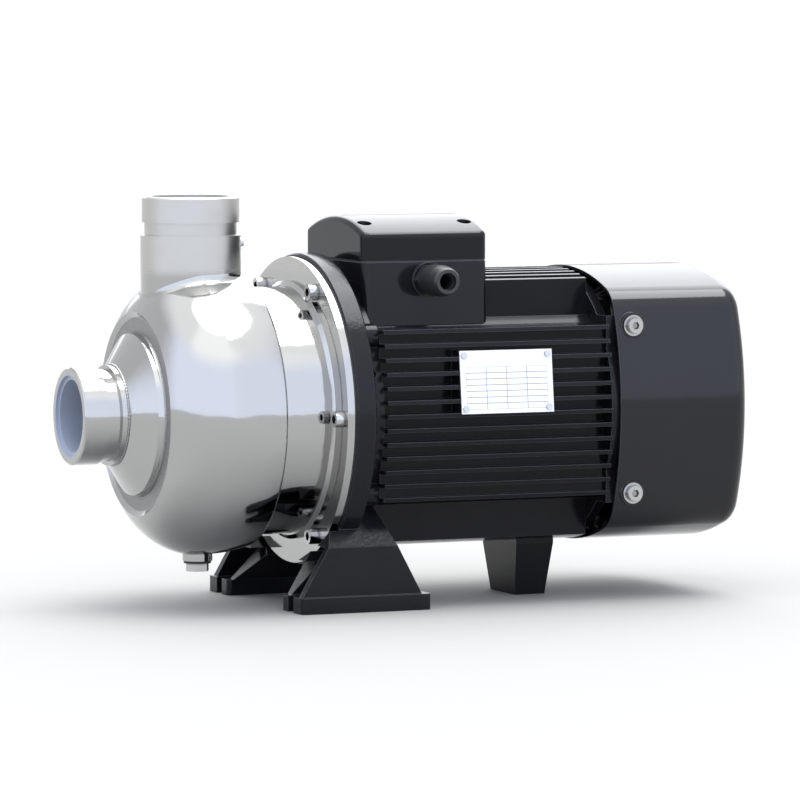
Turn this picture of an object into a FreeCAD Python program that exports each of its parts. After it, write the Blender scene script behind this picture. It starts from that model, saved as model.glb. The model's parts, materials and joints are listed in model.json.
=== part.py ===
"""Horizontal close-coupled centrifugal pump with a pressed steel casing.

The shaft runs along X, from the suction spigot at -X to the fan at +X. Z is
up, and Z = 0 is the floor that the feet stand on. The origin is midway between
the two foundation studs, where the feet's open slots end. Sizes are in
millimetres.
"""
import FreeCAD, Part
import math
import os
import re

import Sketcher

os.makedirs("parts", exist_ok=True)
doc = FreeCAD.newDocument("centrifugal_pump")

# Driving sizes, one named value each
SIZES = {
    # place of the main parts
    "shaft_height": 120,
    "discharge_rise": 134,
    "suction_reach": 80,
    "foot_offset": 55,
    "flange_reach": 66,
    "fit_gap": 0.05,
    "running_gap": 0.3,
    # grooved-end spigots
    "pipe_radius": 30.15,
    "lip_length": 15.9,
    "coupling_groove_width": 8,
    "coupling_groove_depth": 1.6,
    "suction_collar": 4.1,
    "discharge_collar": 1,
    "collar_radius": 31,
    "nozzle_bore_radius": 22.4,
    "rim_bore_radius": 25,
    "rim_step": 2,
    "edge_break": 1,
    # pressed casing
    "casing_wall": 2.5,
    "cone_length": 12,
    "cone_radius": 50,
    "land_setback": 5,
    "land_radius": 60,
    "lip_rise": 2,
    "lip_width": 3,
    "shoulder_arc": 46,
    "crest_lead": 4,
    "crown_arc": 105,
    "bowl_rear_reach": 32,
    "bowl_rear_rise": 7,
    "crest_rise": 4,
    "bowl_corner": 3,
    "drum_radius": 77,
    "bead_rise": 3.5,
    "bead_width": 4,
    "flange_margin": 8.4,
    "flange_plate": 2.5,
    "neck_radius": 31,
    "neck_fillet": 6,
    "cone_skew": 1.2,
    "lip_skew": 0.3,
    "throat_radius": 28.5,
    # casing plugs
    "drain_offset": 4,
    "drain_boss_radius": 9.3,
    "drain_boss_drop": 4,
    "plug_thread_radius": 5,
    "plug_hex_radius": 7.5,
    "plug_head": 5,
    "plug_washer": 1.5,
    "plug_washer_radius": 8.5,
    "plug_thread_length": 9,
    "vent_drop": 29.5,
    "vent_boss_radius": 4.4,
    "vent_boss_rise": 1.2,
    "vent_thread_radius": 2.5,
    "vent_head_radius": 3.5,
    "vent_head": 1.8,
    # wear ring and impeller
    "wear_ring_length": 28,
    "wear_ring_radius": 25.3,
    "eye_radius": 22.2,
    "impeller_radius": 66,
    "impeller_width": 8,
    "shroud": 2,
    "eye_length": 27,
    "eye_arc": 5,
    "vane_count": 6,
    "vane_thickness": 2.5,
    "vane_arc": 52,
    "vane_inlet_radius": 24,
    "vane_face_x": 0.62,
    "vane_face_y": 0.77,
    "vane_back_x": 0.58,
    "vane_back_y": 0.8,
    "hub_radius": 11.5,
    "hub_nose": 6,
    "hub_tail": 5,
    # back cover and shaft seal
    "cover_wall": 2.5,
    "dish_depth": 53,
    "seal_pocket_radius": 16.05,
    "seal_pocket_depth": 14.5,
    "seal_lip_radius": 12,
    "o_ring_radius": 1.2,
    "seat_length": 6.5,
    "seat_bore": 9.5,
    "seat_gasket": 1.5,
    "seal_head_radius": 14.5,
    "head_clearance": 1.5,
    "casing_screw_count": 6,
    "cap_head_radius": 5,
    "cap_head": 6,
    "cap_screw_radius": 3,
    "cap_screw_length": 16,
    "cap_socket_radius": 2.9,
    "cap_socket_depth": 3,
    # bracket between pump and motor
    "bracket_flange_margin": 2.1,
    "bracket_flange": 13.5,
    "bracket_depth": 25.6,
    "bracket_body_radius": 80,
    "bracket_wall": 14,
    "bracket_web": 6,
    "register_depth": 5,
    "bearing_hub_radius": 31,
    "oil_seal_radius": 17.5,
    "oil_seal_width": 7,
    "tie_bolt_y": 62,
    "tie_bolt_z": 48,
    "tie_bolt_radius": 2.5,
    "tie_bolt_head_radius": 4.5,
    "tie_bolt_head": 5,
    "tie_bolt_engagement": 14,
    "tie_bolt_hole": 3,
    "lug_radius": 8.5,
    # front feet
    "slot_reach": 13,
    "slot_radius": 4.5,
    "slot_spread": 61,
    "pad_length": 86,
    "pad_inner": 46,
    "pad_outer": 80,
    "pad_height": 10,
    "pad_corner": 3,
    "leg_inset": 2,
    "leg_rear_inset": 5,
    "leg_waist_front": 24,
    "leg_waist_rear": 22,
    "leg_top_front": 12,
    "leg_top_rear": 7.5,
    "leg_outer": 76,
    "leg_waist_height": 40,
    "leg_top_height": 74,
    "leg_top_half": 52,
    "leg_wall": 6,
    "web_set_back": 20,
    "arch_top": 36,
    "leg_clearance": 1,
    "weep_hole_radius": 2.2,
    "weep_hole_rise": 26,
    # motor frame
    "frame_length": 151.7,
    "frame_half": 86,
    "side_crown": 180,
    "ledge_height": 53,
    "top_wall": 44,
    "shell_radius": 72.5,
    "frame_bore": 68,
    "fin_thickness": 2.5,
    "side_channels": 12,
    "top_channels": 10,
    "channel_floor": 71.5,
    "support_pad_drop": 0.8,
    # stator, rotor and shaft
    "stator_front": 33.4,
    "stator_rear": 33.3,
    "stator_bore": 41,
    "rotor_radius": 40.6,
    "rotor_bore": 15,
    "winding_length": 20,
    "winding_inner": 45,
    "winding_outer": 64,
    "slot_count": 24,
    "slot_width": 5,
    "slot_depth": 14,
    "end_ring_length": 6,
    "end_ring_inner": 24,
    "impeller_seat_radius": 7,
    "seal_seat_radius": 8,
    "thread_end_radius": 5,
    "thread_end_length": 12,
    "front_bearing_seat": 10,
    "rear_bearing_seat": 8.5,
    "shaft_shoulder": 12.5,
    "fan_seat_radius": 7.5,
    "circlip_groove_radius": 7,
    "circlip_width": 1.2,
    "circlip_radius": 10,
    "key_width": 4,
    "key_length": 14,
    "key_low": 4.8,
    "key_high": 8.6,
    "nut_height": 8,
    "nut_hex_radius": 9,
    "nut_washer": 2,
    "nut_washer_radius": 10,
    "slinger_radius": 22,
    "slinger_width": 4,
    # ball bearings
    "front_bearing_outer": 23.5,
    "front_bearing_width": 14,
    "front_ball_radius": 3.9,
    "front_ball_count": 8,
    "rear_bearing_outer": 20,
    "rear_bearing_width": 12,
    "rear_ball_radius": 3.3,
    "rear_ball_count": 8,
    "cage_wall": 1.6,
    "wave_spring": 1.4,
    # rear shield, fan and fan cover
    "shield_plate": 6,
    "shield_radius": 84,
    "shield_hub_radius": 26,
    "shield_lip": 2.5,
    "spigot_length": 6,
    "spigot_wall": 6,
    "cover_screw_z": 52.4,
    "cover_screw_reach": 11,
    "cover_lug_radius": 6,
    "cover_lug_inner": 67.5,
    "cover_lug_outer": 74.8,
    "fan_cover_front": 4.7,
    "fan_cover_length": 89.7,
    "fan_cover_half": 86.8,
    "fan_cover_crown": 180,
    "fan_cover_corner": 21,
    "fan_cover_round": 11,
    "fan_cover_wall": 1.6,
    "cover_pad_face": 80.2,
    "cover_pad_radius": 8,
    "grille_slot_count": 24,
    "grille_slot_width": 4,
    "grille_inner": 24,
    "grille_outer": 60,
    "cover_screw_radius": 2.5,
    "cover_screw_head_radius": 4.6,
    "cover_screw_head": 3.4,
    "cover_screw_length": 14,
    "cover_washer_radius": 6.6,
    "cover_washer": 1.2,
    "fan_radius": 64,
    "fan_blade_count": 8,
    "fan_blade_thickness": 2.2,
    "fan_blade_step": 6,
    "fan_width": 24,
    "fan_disc": 2,
    "fan_hub_radius": 14,
    "fan_gap": 8,
    # terminal box
    "box_lead": 1.2,
    "box_length": 84.2,
    "box_half_width": 47.5,
    "box_draft": 1.5,
    "box_wall": 3.5,
    "box_seam_height": 93,
    "box_gasket": 1,
    "lid_side": 16.5,
    "lid_arch": 116,
    "lid_round": 3.5,
    "box_floor": 2.5,
    "box_corner": 5,
    "box_post_radius": 5.5,
    "box_screw_inset_x": 8.5,
    "box_screw_inset_y": 18,
    "lid_screw_radius": 2,
    "lid_screw_head_radius": 4,
    "lid_screw_head": 3,
    "lid_screw_length": 26,
    "lid_counterbore_radius": 4.5,
    "box_thread_depth": 12,
    "gland_reach": 42.9,
    "gland_height": 82,
    "gland_boss_rise": 2,
    "gland_boss_radius": 10.8,
    "gland_thread_radius": 8,
    "gland_hex_radius": 10.5,
    "gland_hex": 6,
    "gland_stem_length": 12,
    "gland_bore_radius": 5,
    "gland_neck_radius": 7.3,
    "gland_nut_radius": 9.7,
    "gland_nut_length": 23,
    "gland_nut_straight": 13.5,
    "gland_nut_lip": 4,
    "gland_front_radius": 7.6,
    "wire_hole_radius": 5,
    "wire_hole_inset": 10.5,
    "block_length": 48,
    "block_width": 30,
    "block_height": 9,
    "stud_spacing_x": 15,
    "stud_spacing_y": 15,
    "stud_radius": 2,
    "stud_height": 14,
    "stud_socket_depth": 4,
    "stud_nut_radius": 4,
    "stud_nut": 3.2,
    "link_width": 7,
    "link_thickness": 1,
    # nameplate
    "plate_length": 62,
    "plate_height": 39,
    "plate_thickness": 0.8,
    "plate_reach": 79.4,
    "plate_tilt": 6.4,
    "plate_seat": 84.6,
    "plate_middle": 20,
    "rivet_radius": 1.2,
    "rivet_head_radius": 2,
    "rivet_head": 0.9,
    "rivet_length": 5,
    "rivet_inset": 3,
    # rear support
    "support_rear": 27.3,
    "support_top_length": 25.4,
    "support_top_width": 54,
    "support_base_length": 20.4,
    "support_base_width": 38,
    "support_wall": 3,
    "support_roof": 6,
    "support_screw_spacing": 28,
    "support_screw_radius": 2.5,
    "support_screw_length": 12,
    "support_screw_head_radius": 4.2,
    "support_screw_head": 4,
}

# Places that follow from the driving sizes
PLACES = {
    "discharge_x": "-foot_offset",
    "pad_front_x": "-slot_reach",
    "pad_rear_x": "pad_length - slot_reach",
    "pad_middle_x": "pad_length / 2 - slot_reach",
    "suction_x": "-foot_offset - suction_reach",
    "bead_radius": "drum_radius + bead_rise",
    "bowl_rear_radius": "drum_radius + bowl_rear_rise",
    "crest_radius": "bowl_rear_radius + crest_rise",
    "dish_radius": "drum_radius - casing_wall - 2 * o_ring_radius - 2 * fit_gap",
    "casing_screw_circle": "bead_radius + cap_head_radius + head_clearance",
    "flange_radius": "casing_screw_circle + flange_margin",
    "bracket_flange_radius": "flange_radius + bracket_flange_margin",
    "groove_end": "lip_length + coupling_groove_width",
    "casing_front_x": "suction_x + groove_end + suction_collar",
    "cone_rear_x": "casing_front_x + cone_length",
    "land_x": "cone_rear_x + land_setback",
    "crest_x": "discharge_x - crest_lead",
    "bowl_rear_x": "discharge_x + bowl_rear_reach",
    "flange_x": "discharge_x + flange_reach",
    "rim_x": "flange_x + flange_plate",
    "bracket_x": "rim_x + cover_wall",
    "bracket_body_x": "bracket_x + bracket_flange",
    "frame_x": "bracket_x + bracket_depth",
    "frame_rear_x": "frame_x + frame_length",
    "neck_top_z": "discharge_rise - groove_end - discharge_collar",
    "impeller_front_x": "discharge_x - impeller_width / 2 - shroud",
    "impeller_rear_x": "discharge_x + impeller_width / 2 + shroud",
    "hub_rear_x": "impeller_rear_x + hub_tail",
    "hub_front_x": "impeller_front_x - hub_nose",
    "dish_x": "bracket_x - dish_depth",
    "seat_front_x": "dish_x + seal_pocket_depth - cover_wall - seat_gasket - seat_length",
    "front_bearing_x": "frame_x - bracket_wall / 2 - 1",
    "front_bearing_rear_x": "front_bearing_x + front_bearing_width",
    "oil_seal_x": "front_bearing_x - 1 - oil_seal_width",
    "rear_bearing_rear_x": "frame_rear_x + shield_plate",
    "rear_bearing_x": "rear_bearing_rear_x - rear_bearing_width",
    "stator_x": "frame_x + stator_front",
    "stator_rear_x": "frame_rear_x - stator_rear",
    "stator_length": "stator_rear_x - stator_x",
    "shield_rear_x": "frame_rear_x + shield_plate",
    "shield_hub_x": "rear_bearing_rear_x + wave_spring + fit_gap + shield_lip",
    "fan_x": "shield_hub_x + fan_gap",
    "fan_rear_x": "fan_x + fan_width",
    "fan_cover_x": "frame_rear_x + fan_cover_front",
    "fan_cover_rear_x": "fan_cover_x + fan_cover_length",
    "cover_screw_x": "fan_cover_x + cover_screw_reach",
    "shaft_end_x": "fan_rear_x + circlip_width + 4",
    "thread_end_x": "hub_front_x - nut_washer - thread_end_length",
    "frame_side": "frame_half - side_crown + sqrt(side_crown ^ 2 - ledge_height ^ 2)",
    "frame_top": "frame_half - side_crown + sqrt(side_crown ^ 2 - top_wall ^ 2)",
    "cover_slack": "fan_cover_crown - fan_cover_half",
    "cover_corner": "(sqrt(2 * fan_cover_crown ^ 2 - cover_slack ^ 2) - cover_slack) / 2",
    "cover_inner_crown": "fan_cover_crown - fan_cover_wall",
    "cover_inner_corner": "(sqrt(2 * cover_inner_crown ^ 2 - cover_slack ^ 2) - cover_slack) / 2",
    "plate_x": "frame_x + plate_reach",
    "support_x": "frame_rear_x - support_rear",
    "support_height": "shaft_height - frame_half - support_pad_drop",
    "plate_lean": "tan(plate_tilt) * plate_height / 2",
    "gland_x": "frame_x + gland_reach",
    "gland_seat": "box_half_width + gland_boss_rise",
    "gland_nut_x": "gland_seat + gland_hex",
    "slinger_x": "oil_seal_x - 4 * edge_break - slinger_width",
    "ledge_pitch": "(2 * ledge_height - fin_thickness) / side_channels",
    "top_pitch": "(2 * top_wall - fin_thickness) / top_channels",
    "box_x": "frame_x - box_lead",
    "box_rear_x": "box_x + box_length",
    "box_middle_x": "box_x + box_length / 2",
    "wire_x": "box_rear_x - wire_hole_inset",
    "box_saddle": "shell_radius + fit_gap",
    "lid_base_z": "box_seam_height + box_gasket",
    "lid_edge_z": "lid_base_z + lid_side",
    "block_base_z": "shell_radius + box_floor",
    "block_top_z": "block_base_z + block_height",
    "front_ball_circle": "(front_bearing_seat + front_bearing_outer) / 2",
    "rear_ball_circle": "(rear_bearing_seat + rear_bearing_outer) / 2",
}

sizes = {}


def spell(text, home=""):
    """Write a formula's plain names as the cells of the two sheets."""
    def cell(match):
        name = match.group(0)
        if name in SIZES:
            return "dims." + name
        if name in PLACES:
            return name if home == "places" else "places." + name
        return name
    return re.sub(r"[A-Za-z_][A-Za-z_0-9]*", cell, text)


def fill(label, rows):
    """Make a sheet with one name and one value on each line."""
    sheet = doc.addObject("Spreadsheet::Sheet", label)
    for number, (name, content) in enumerate(rows.items(), 1):
        formula = isinstance(content, str)
        sheet.set("A%d" % number, name)
        sheet.set("B%d" % number, "=" + spell(content, label) if formula else str(content))
        sheet.setAlias("B%d" % number, name)
    doc.recompute()
    sizes.update((name, float(sheet.get(name))) for name in rows)
    return sheet


dims = fill("dims", SIZES)
places = fill("places", PLACES)


def value(text):
    """Number of a sum of products of named sizes."""
    total = 0.0
    for sign, term in re.findall(r"([+-]?)([^+-]+)", text.replace(" ", "")):
        product = 1.0
        for operator, factor in re.findall(r"([*/]?)([^*/]+)", term):
            number = sizes[factor] if factor in sizes else float(factor)
            product = product / number if operator == "/" else product * number
        total += -product if sign == "-" else product
    return total


def minus(text):
    """The same sum with every sign turned."""
    return " ".join("-" + term if sign != "-" else "+" + term
                    for sign, term in re.findall(r"([+-]?)([^+-]+)", text.replace(" ", "")))


def bind(item, **formulas):
    for name, formula in formulas.items():
        item.setExpression(name, spell(formula))


def place(item, **steps):
    """Bind an object's place, one formula for each axis."""
    for axis, formula in steps.items():
        item.setExpression("Placement.Base." + axis, spell(formula))


def role(body, name):
    return next(item for item in body.Origin.OriginFeatures if item.Role == name)


def new_body(label, height="shaft_height"):
    body = doc.addObject("PartDesign::Body", label)
    body.AllowCompound = True
    place(body, z=height)
    return body


def new_sketch(body, name, plane, level="0"):
    sketch = body.newObject("Sketcher::SketchObject", name)
    sketch.AttachmentSupport = [(role(body, plane), "")]
    sketch.MapMode = "FlatFace"
    sketch.setExpression("AttachmentOffset.Base.z", spell(level))
    return sketch


def pin_point(sketch, index, end, across, up):
    """Hold one end of a line at a named distance across and up."""
    for kind, text, axis in (("DistanceX", across, -2), ("DistanceY", up, -1)):
        if text == "0":
            sketch.addConstraint(Sketcher.Constraint("PointOnObject", index, end, axis))
        else:
            number = sketch.addConstraint(Sketcher.Constraint(kind, -1, 1, index, end, value(text)))
            sketch.setExpression("Constraints[%d]" % number, spell(text))


def hold_radius(sketch, index, text):
    number = sketch.addConstraint(Sketcher.Constraint("Radius", index, value(text)))
    sketch.setExpression("Constraints[%d]" % number, spell(text))


def outline(sketch, points):
    """Close a loop through named points.

    A third entry is the radius of an arc to the next point. It curves to the
    left, or to the right where the text starts with a minus.
    """
    spots = [FreeCAD.Vector(value(point[0]), value(point[1]), 0) for point in points]
    first_ends = []
    last_ends = []
    indices = []
    for number, point in enumerate(points):
        start = spots[number]
        finish = spots[(number + 1) % len(points)]
        if len(point) == 2:
            indices.append(sketch.addGeometry(Part.LineSegment(start, finish), False))
            first_ends.append(1)
            last_ends.append(2)
            continue
        left = not point[2].startswith("-")
        radius = abs(value(point[2]))
        chord = finish - start
        normal = FreeCAD.Vector(-chord.y, chord.x, 0).normalize() * (1 if left else -1)
        centre = (start + finish) * 0.5 + normal * math.sqrt(max(radius ** 2 - chord.Length ** 2 / 4, 0))
        angles = [math.atan2(spot.y - centre.y, spot.x - centre.x) for spot in (start, finish)]
        if not left:
            angles.reverse()
        circle = Part.Circle(centre, FreeCAD.Vector(0, 0, 1), radius)
        indices.append(sketch.addGeometry(Part.ArcOfCircle(circle, *angles), False))
        first_ends.append(1 if left else 2)
        last_ends.append(2 if left else 1)
    for number, point in enumerate(points):
        follower = (number + 1) % len(points)
        sketch.addConstraint(Sketcher.Constraint(
            "Coincident", indices[number], last_ends[number], indices[follower], first_ends[follower]))
        pin_point(sketch, indices[number], first_ends[number], point[0], point[1])
        if len(point) == 3:
            hold_radius(sketch, indices[number], point[2].lstrip("-"))


def rectangle(sketch, left, right, low, high):
    outline(sketch, [(left, low), (right, low), (right, high), (left, high)])


def circle(sketch, across, up, radius):
    centre = FreeCAD.Vector(value(across), value(up), 0)
    index = sketch.addGeometry(Part.Circle(centre, FreeCAD.Vector(0, 0, 1), value(radius)), False)
    pin_point(sketch, index, 3, across, up)
    hold_radius(sketch, index, radius)


def hexagon(sketch, across, up, radius):
    """A regular hexagon with its corners on a circle of the given radius."""
    centre = FreeCAD.Vector(value(across), value(up), 0)
    guide = sketch.addGeometry(Part.Circle(centre, FreeCAD.Vector(0, 0, 1), value(radius)), True)
    pin_point(sketch, guide, 3, across, up)
    hold_radius(sketch, guide, radius)
    corners = [centre + FreeCAD.Vector(math.cos(step * math.pi / 3), math.sin(step * math.pi / 3), 0)
               * value(radius) for step in range(6)]
    sides = [sketch.addGeometry(Part.LineSegment(corners[step], corners[(step + 1) % 6]), False)
             for step in range(6)]
    for step, side in enumerate(sides):
        follower = sides[(step + 1) % 6]
        sketch.addConstraint(Sketcher.Constraint("Coincident", side, 2, follower, 1))
        sketch.addConstraint(Sketcher.Constraint("PointOnObject", side, 1, guide))
        if step:
            sketch.addConstraint(Sketcher.Constraint("Equal", sides[0], side))
    sketch.addConstraint(Sketcher.Constraint("Horizontal", sides[1]))


def corners_of(across, up):
    """The four corners of a rectangle about the sketch's origin."""
    return [(a, u) for a in (across, minus(across)) for u in (up, minus(up))]


def add(body, kind, name, sketch, **options):
    feature = body.newObject("PartDesign::" + kind, name)
    feature.Profile = sketch
    for option, setting in options.items():
        setattr(feature, option, setting)
    body.Tip = feature
    return feature


def pad(body, name, plane, level, length, draw, back=False, both=False):
    """Raise a sketch from a plane by a named length."""
    sketch = new_sketch(body, name + "_sketch", plane, level)
    draw(sketch)
    feature = add(body, "Pad", name, sketch, Reversed=back, SideType="Symmetric" if both else "One side")
    bind(feature, Length=length)
    return feature


def pocket(body, name, plane, level, length, draw, back=False, both=False):
    """Cut a sketch by a named length, along the plane's normal unless back."""
    sketch = new_sketch(body, name + "_sketch", plane, level)
    draw(sketch)
    feature = add(body, "Pocket", name, sketch, Reversed=not back,
                  SideType="Symmetric" if both else "One side")
    bind(feature, Length=length)
    return feature


def turned(body, name, points, kind="Revolution", plane="XZ_Plane"):
    """Turn a half section about the sketch's horizontal axis."""
    sketch = new_sketch(body, name + "_sketch", plane)
    outline(sketch, points)
    return add(body, kind, name, sketch, ReferenceAxis=(sketch, ["H_Axis"]), Angle=360)


def around(body, name, features, count):
    """Repeat features about the body's X axis."""
    pattern = body.newObject("PartDesign::PolarPattern", name)
    pattern.Originals = features
    pattern.Axis = (role(body, "X_Axis"), [""])
    pattern.Angle = 360
    bind(pattern, Occurrences=count)
    body.Tip = pattern
    return pattern


def in_row(body, name, features, axis, length, count):
    pattern = body.newObject("PartDesign::LinearPattern", name)
    pattern.Originals = features
    pattern.Direction = (role(body, axis), [""])
    bind(pattern, Length=length, Occurrences=count)
    body.Tip = pattern
    return pattern


def mirrored(body, name, features, plane):
    copy = body.newObject("PartDesign::Mirrored", name)
    copy.Originals = features
    copy.MirrorPlane = (role(body, plane), [""])
    body.Tip = copy
    return copy


def edges_of(feature, test):
    doc.recompute()
    shape = feature.Shape
    return ["Edge%d" % number for number, edge in enumerate(shape.Edges, 1) if test(edge)]


def fillet(body, name, test, radius, kind="Fillet", setting="Radius"):
    """Round the edges of the body's newest feature that pass a test."""
    base = body.Tip
    names = edges_of(base, test)
    feature = body.newObject("PartDesign::" + kind, name)
    feature.Base = (base, names)
    feature.setExpression(setting, spell(radius))
    body.Tip = feature
    return feature


def runs_along(edge, axis):
    """Whether an edge is a straight line along one axis."""
    if edge.Curve.TypeId != "Part::GeomLine":
        return False
    return abs(getattr(edge.Curve.Direction, axis)) > 0.999


def ring(label, front, rear, inner, outer, height="shaft_height"):
    """A plain ring about the shaft axis."""
    body = new_body(label, height)
    turned(body, label + "_ring", [(front, inner), (front, outer), (rear, outer), (rear, inner)])
    return body


def boolean(kind, label, first, second):
    item = doc.addObject("Part::" + kind, label)
    item.Base = first
    item.Tool = second
    return item


def fuse(label, *pieces):
    item = doc.addObject("Part::MultiFuse", label)
    item.Shapes = list(pieces)
    return item


def together(label, *pieces):
    item = doc.addObject("Part::Compound", label)
    item.Links = list(pieces)
    return item


nodes = []


def keep(item, label=None):
    """List an object as one of the pump's pieces."""
    if label:
        item.Label = label
    nodes.append(item)
    return item


# Pump end: spigots, casing and its plugs
def spigot(label, collar):
    """Grooved pipe end, drawn from its open face along +X."""
    body = doc.addObject("PartDesign::Body", label)
    groove_floor = "pipe_radius - coupling_groove_depth"
    end = "groove_end + " + collar
    turned(body, label + "_wall", [
        ("0", "rim_bore_radius"), ("0", "pipe_radius - edge_break"), ("edge_break", "pipe_radius"),
        ("lip_length", "pipe_radius"), ("lip_length", groove_floor),
        ("groove_end", groove_floor), ("groove_end", "collar_radius"),
        (end, "collar_radius"), (end, "nozzle_bore_radius"),
        ("rim_step", "nozzle_bore_radius"), ("rim_step", "rim_bore_radius")])
    return keep(body)


def suction_nozzle():
    place(spigot("suction_nozzle", "suction_collar"), x="suction_x", z="shaft_height")


def discharge_nozzle():
    body = spigot("discharge_nozzle", "discharge_collar")
    body.Placement.Rotation = FreeCAD.Rotation(FreeCAD.Vector(0, 1, 0), 90)
    place(body, x="discharge_x", z="shaft_height + discharge_rise")


def bowl_points(opening, skin, closing):
    """Half section of the casing, from the throat to the rear of the drum.

    skin is the wall's thickness for the inner surface and 0 for the outer.
    """
    deep = "+ " + skin + " * cone_skew"
    low = "- " + skin
    back = "+ " + skin
    return opening + [
        ("cone_rear_x" + deep, "cone_radius" + low),
        ("land_x" + back, "cone_radius + edge_break" + low),
        ("land_x" + back, "land_radius" + back),
        ("land_x - lip_rise" + back, "land_radius + lip_width" + low + " * lip_skew",
         "-shoulder_arc" + back),
        ("crest_x", "crest_radius" + low, "-crown_arc" + back),
        ("bowl_rear_x" + low, "bowl_rear_radius" + low),
        ("bowl_rear_x" + low, "drum_radius" + low),
    ] + closing


def casing_shell():
    """Pressed bowl with its welded neck, drain boss and bolting flange."""
    outer = new_body("casing_outer")
    opening = [("casing_front_x", "0"), ("casing_front_x", "collar_radius")]
    turned(outer, "bowl_outer", bowl_points(opening, "0 * casing_wall", [
        ("flange_x - bead_width", "drum_radius"),
        ("flange_x - bead_width", "drum_radius + edge_break"),
        ("flange_x - bead_width / 2", "bead_radius"),
        ("flange_x", "bead_radius"),
        ("flange_x", "flange_radius"),
        ("rim_x", "flange_radius"),
        ("rim_x", "0")]))
    fillet(outer, "bowl_corner_round", lambda edge: is_ring(edge, "bowl_rear_x", "bowl_rear_radius"),
           "bowl_corner")
    pad(outer, "neck_outer", "XY_Plane", "0", "neck_top_z",
        lambda sketch: circle(sketch, "discharge_x", "0", "neck_radius"))
    fillet(outer, "neck_blend", is_neck_seam, "neck_fillet")
    pad(outer, "drain_boss", "XY_Plane", "-crest_radius - drain_boss_drop",
        "drain_boss_drop + crest_radius / 4",
        lambda sketch: circle(sketch, "discharge_x + drain_offset", "0", "drain_boss_radius"))
    pad(outer, "vent_boss", "YZ_Plane", "discharge_x", "neck_radius + vent_boss_rise",
        lambda sketch: circle(sketch, "0", "discharge_rise - vent_drop", "vent_boss_radius"))
    inner = new_body("casing_inner")
    opening = [("casing_front_x - edge_break", "0"), ("casing_front_x - edge_break", "throat_radius"),
               ("casing_front_x + casing_wall / 2", "throat_radius")]
    turned(inner, "bowl_inner", bowl_points(opening, "casing_wall", [
        ("rim_x + edge_break", "drum_radius - casing_wall"),
        ("rim_x + edge_break", "0")]))
    pad(inner, "neck_inner", "XY_Plane", "0", "neck_top_z + edge_break",
        lambda sketch: circle(sketch, "discharge_x", "0", "neck_radius - casing_wall"))
    pad(inner, "drain_hole", "XY_Plane", "0", "crest_radius + drain_boss_drop + edge_break",
        lambda sketch: circle(sketch, "discharge_x + drain_offset", "0", "plug_thread_radius + fit_gap"),
        back=True)
    pad(inner, "vent_hole", "YZ_Plane", "discharge_x", "neck_radius + vent_boss_rise + edge_break",
        lambda sketch: circle(sketch, "0", "discharge_rise - vent_drop", "vent_thread_radius + fit_gap"))
    shell = boolean("Cut", "casing_hollow", outer, inner)
    holes = new_body("casing_screw_holes")
    hole = pad(holes, "casing_screw_hole", "YZ_Plane", "flange_x - edge_break",
               "flange_plate + 2 * edge_break",
               lambda sketch: circle(sketch, "casing_screw_circle", "0", "cap_screw_radius + running_gap"))
    around(holes, "casing_screw_hole_ring", [hole], "casing_screw_count")
    keep(boolean("Cut", "casing_shell", shell, holes))


def is_ring(edge, across, radius):
    """Whether an edge is a full circle about the shaft at a named place."""
    if edge.Curve.TypeId != "Part::GeomCircle":
        return False
    near = abs(edge.Curve.Center.x - value(across)) < 0.01
    return near and abs(edge.Curve.Radius - value(radius)) < 0.01


def is_neck_seam(edge):
    """Whether an edge is where the neck leaves the bowl."""
    middle = edge.valueAt((edge.FirstParameter + edge.LastParameter) / 2)
    reach = math.hypot(middle.x - value("discharge_x"), middle.y)
    on_neck = abs(reach - value("neck_radius")) < 0.02
    return on_neck and value("drum_radius") / 2 < middle.z < value("neck_top_z") - 1


def plug(label, washer_label):
    """Drain plug with an outer hexagon, drawn downwards from its boss."""
    body = new_body(label)
    seat = "-crest_radius - drain_boss_drop"
    pad(body, label + "_thread", "XY_Plane", seat + " - plug_washer", "plug_thread_length",
        lambda sketch: circle(sketch, "discharge_x + drain_offset", "0", "plug_thread_radius"))
    pad(body, label + "_head", "XY_Plane", seat + " - plug_washer", "plug_head",
        lambda sketch: hexagon(sketch, "discharge_x + drain_offset", "0", "plug_hex_radius"), back=True)
    keep(body)
    washer = new_body(washer_label)
    pad(washer, washer_label + "_ring", "XY_Plane", seat, "plug_washer",
        lambda sketch: (circle(sketch, "discharge_x + drain_offset", "0", "plug_washer_radius"),
                        circle(sketch, "discharge_x + drain_offset", "0", "plug_thread_radius + fit_gap")),
        back=True)
    keep(washer)


def vent_plug():
    """Low socket plug in the side of the discharge neck."""
    body = new_body("vent_plug")
    seat = "discharge_x + neck_radius + vent_boss_rise"
    level = "discharge_rise - vent_drop"
    pad(body, "vent_thread", "YZ_Plane", seat, "casing_wall + vent_boss_rise",
        lambda sketch: circle(sketch, "0", level, "vent_thread_radius"), back=True)
    pad(body, "vent_head", "YZ_Plane", seat, "vent_head",
        lambda sketch: circle(sketch, "0", level, "vent_head_radius"))
    pocket(body, "vent_socket", "YZ_Plane", seat, "vent_head + edge_break",
           lambda sketch: hexagon(sketch, "0", level, "vent_thread_radius / 2"))
    keep(body)


def wear_ring():
    body = ring("wear_ring", "casing_front_x", "casing_front_x + wear_ring_length",
                "wear_ring_radius", "throat_radius - fit_gap")
    keep(body)


suction_nozzle()
discharge_nozzle()
casing_shell()
plug("drain_plug", "drain_plug_washer")
vent_plug()
wear_ring()


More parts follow.
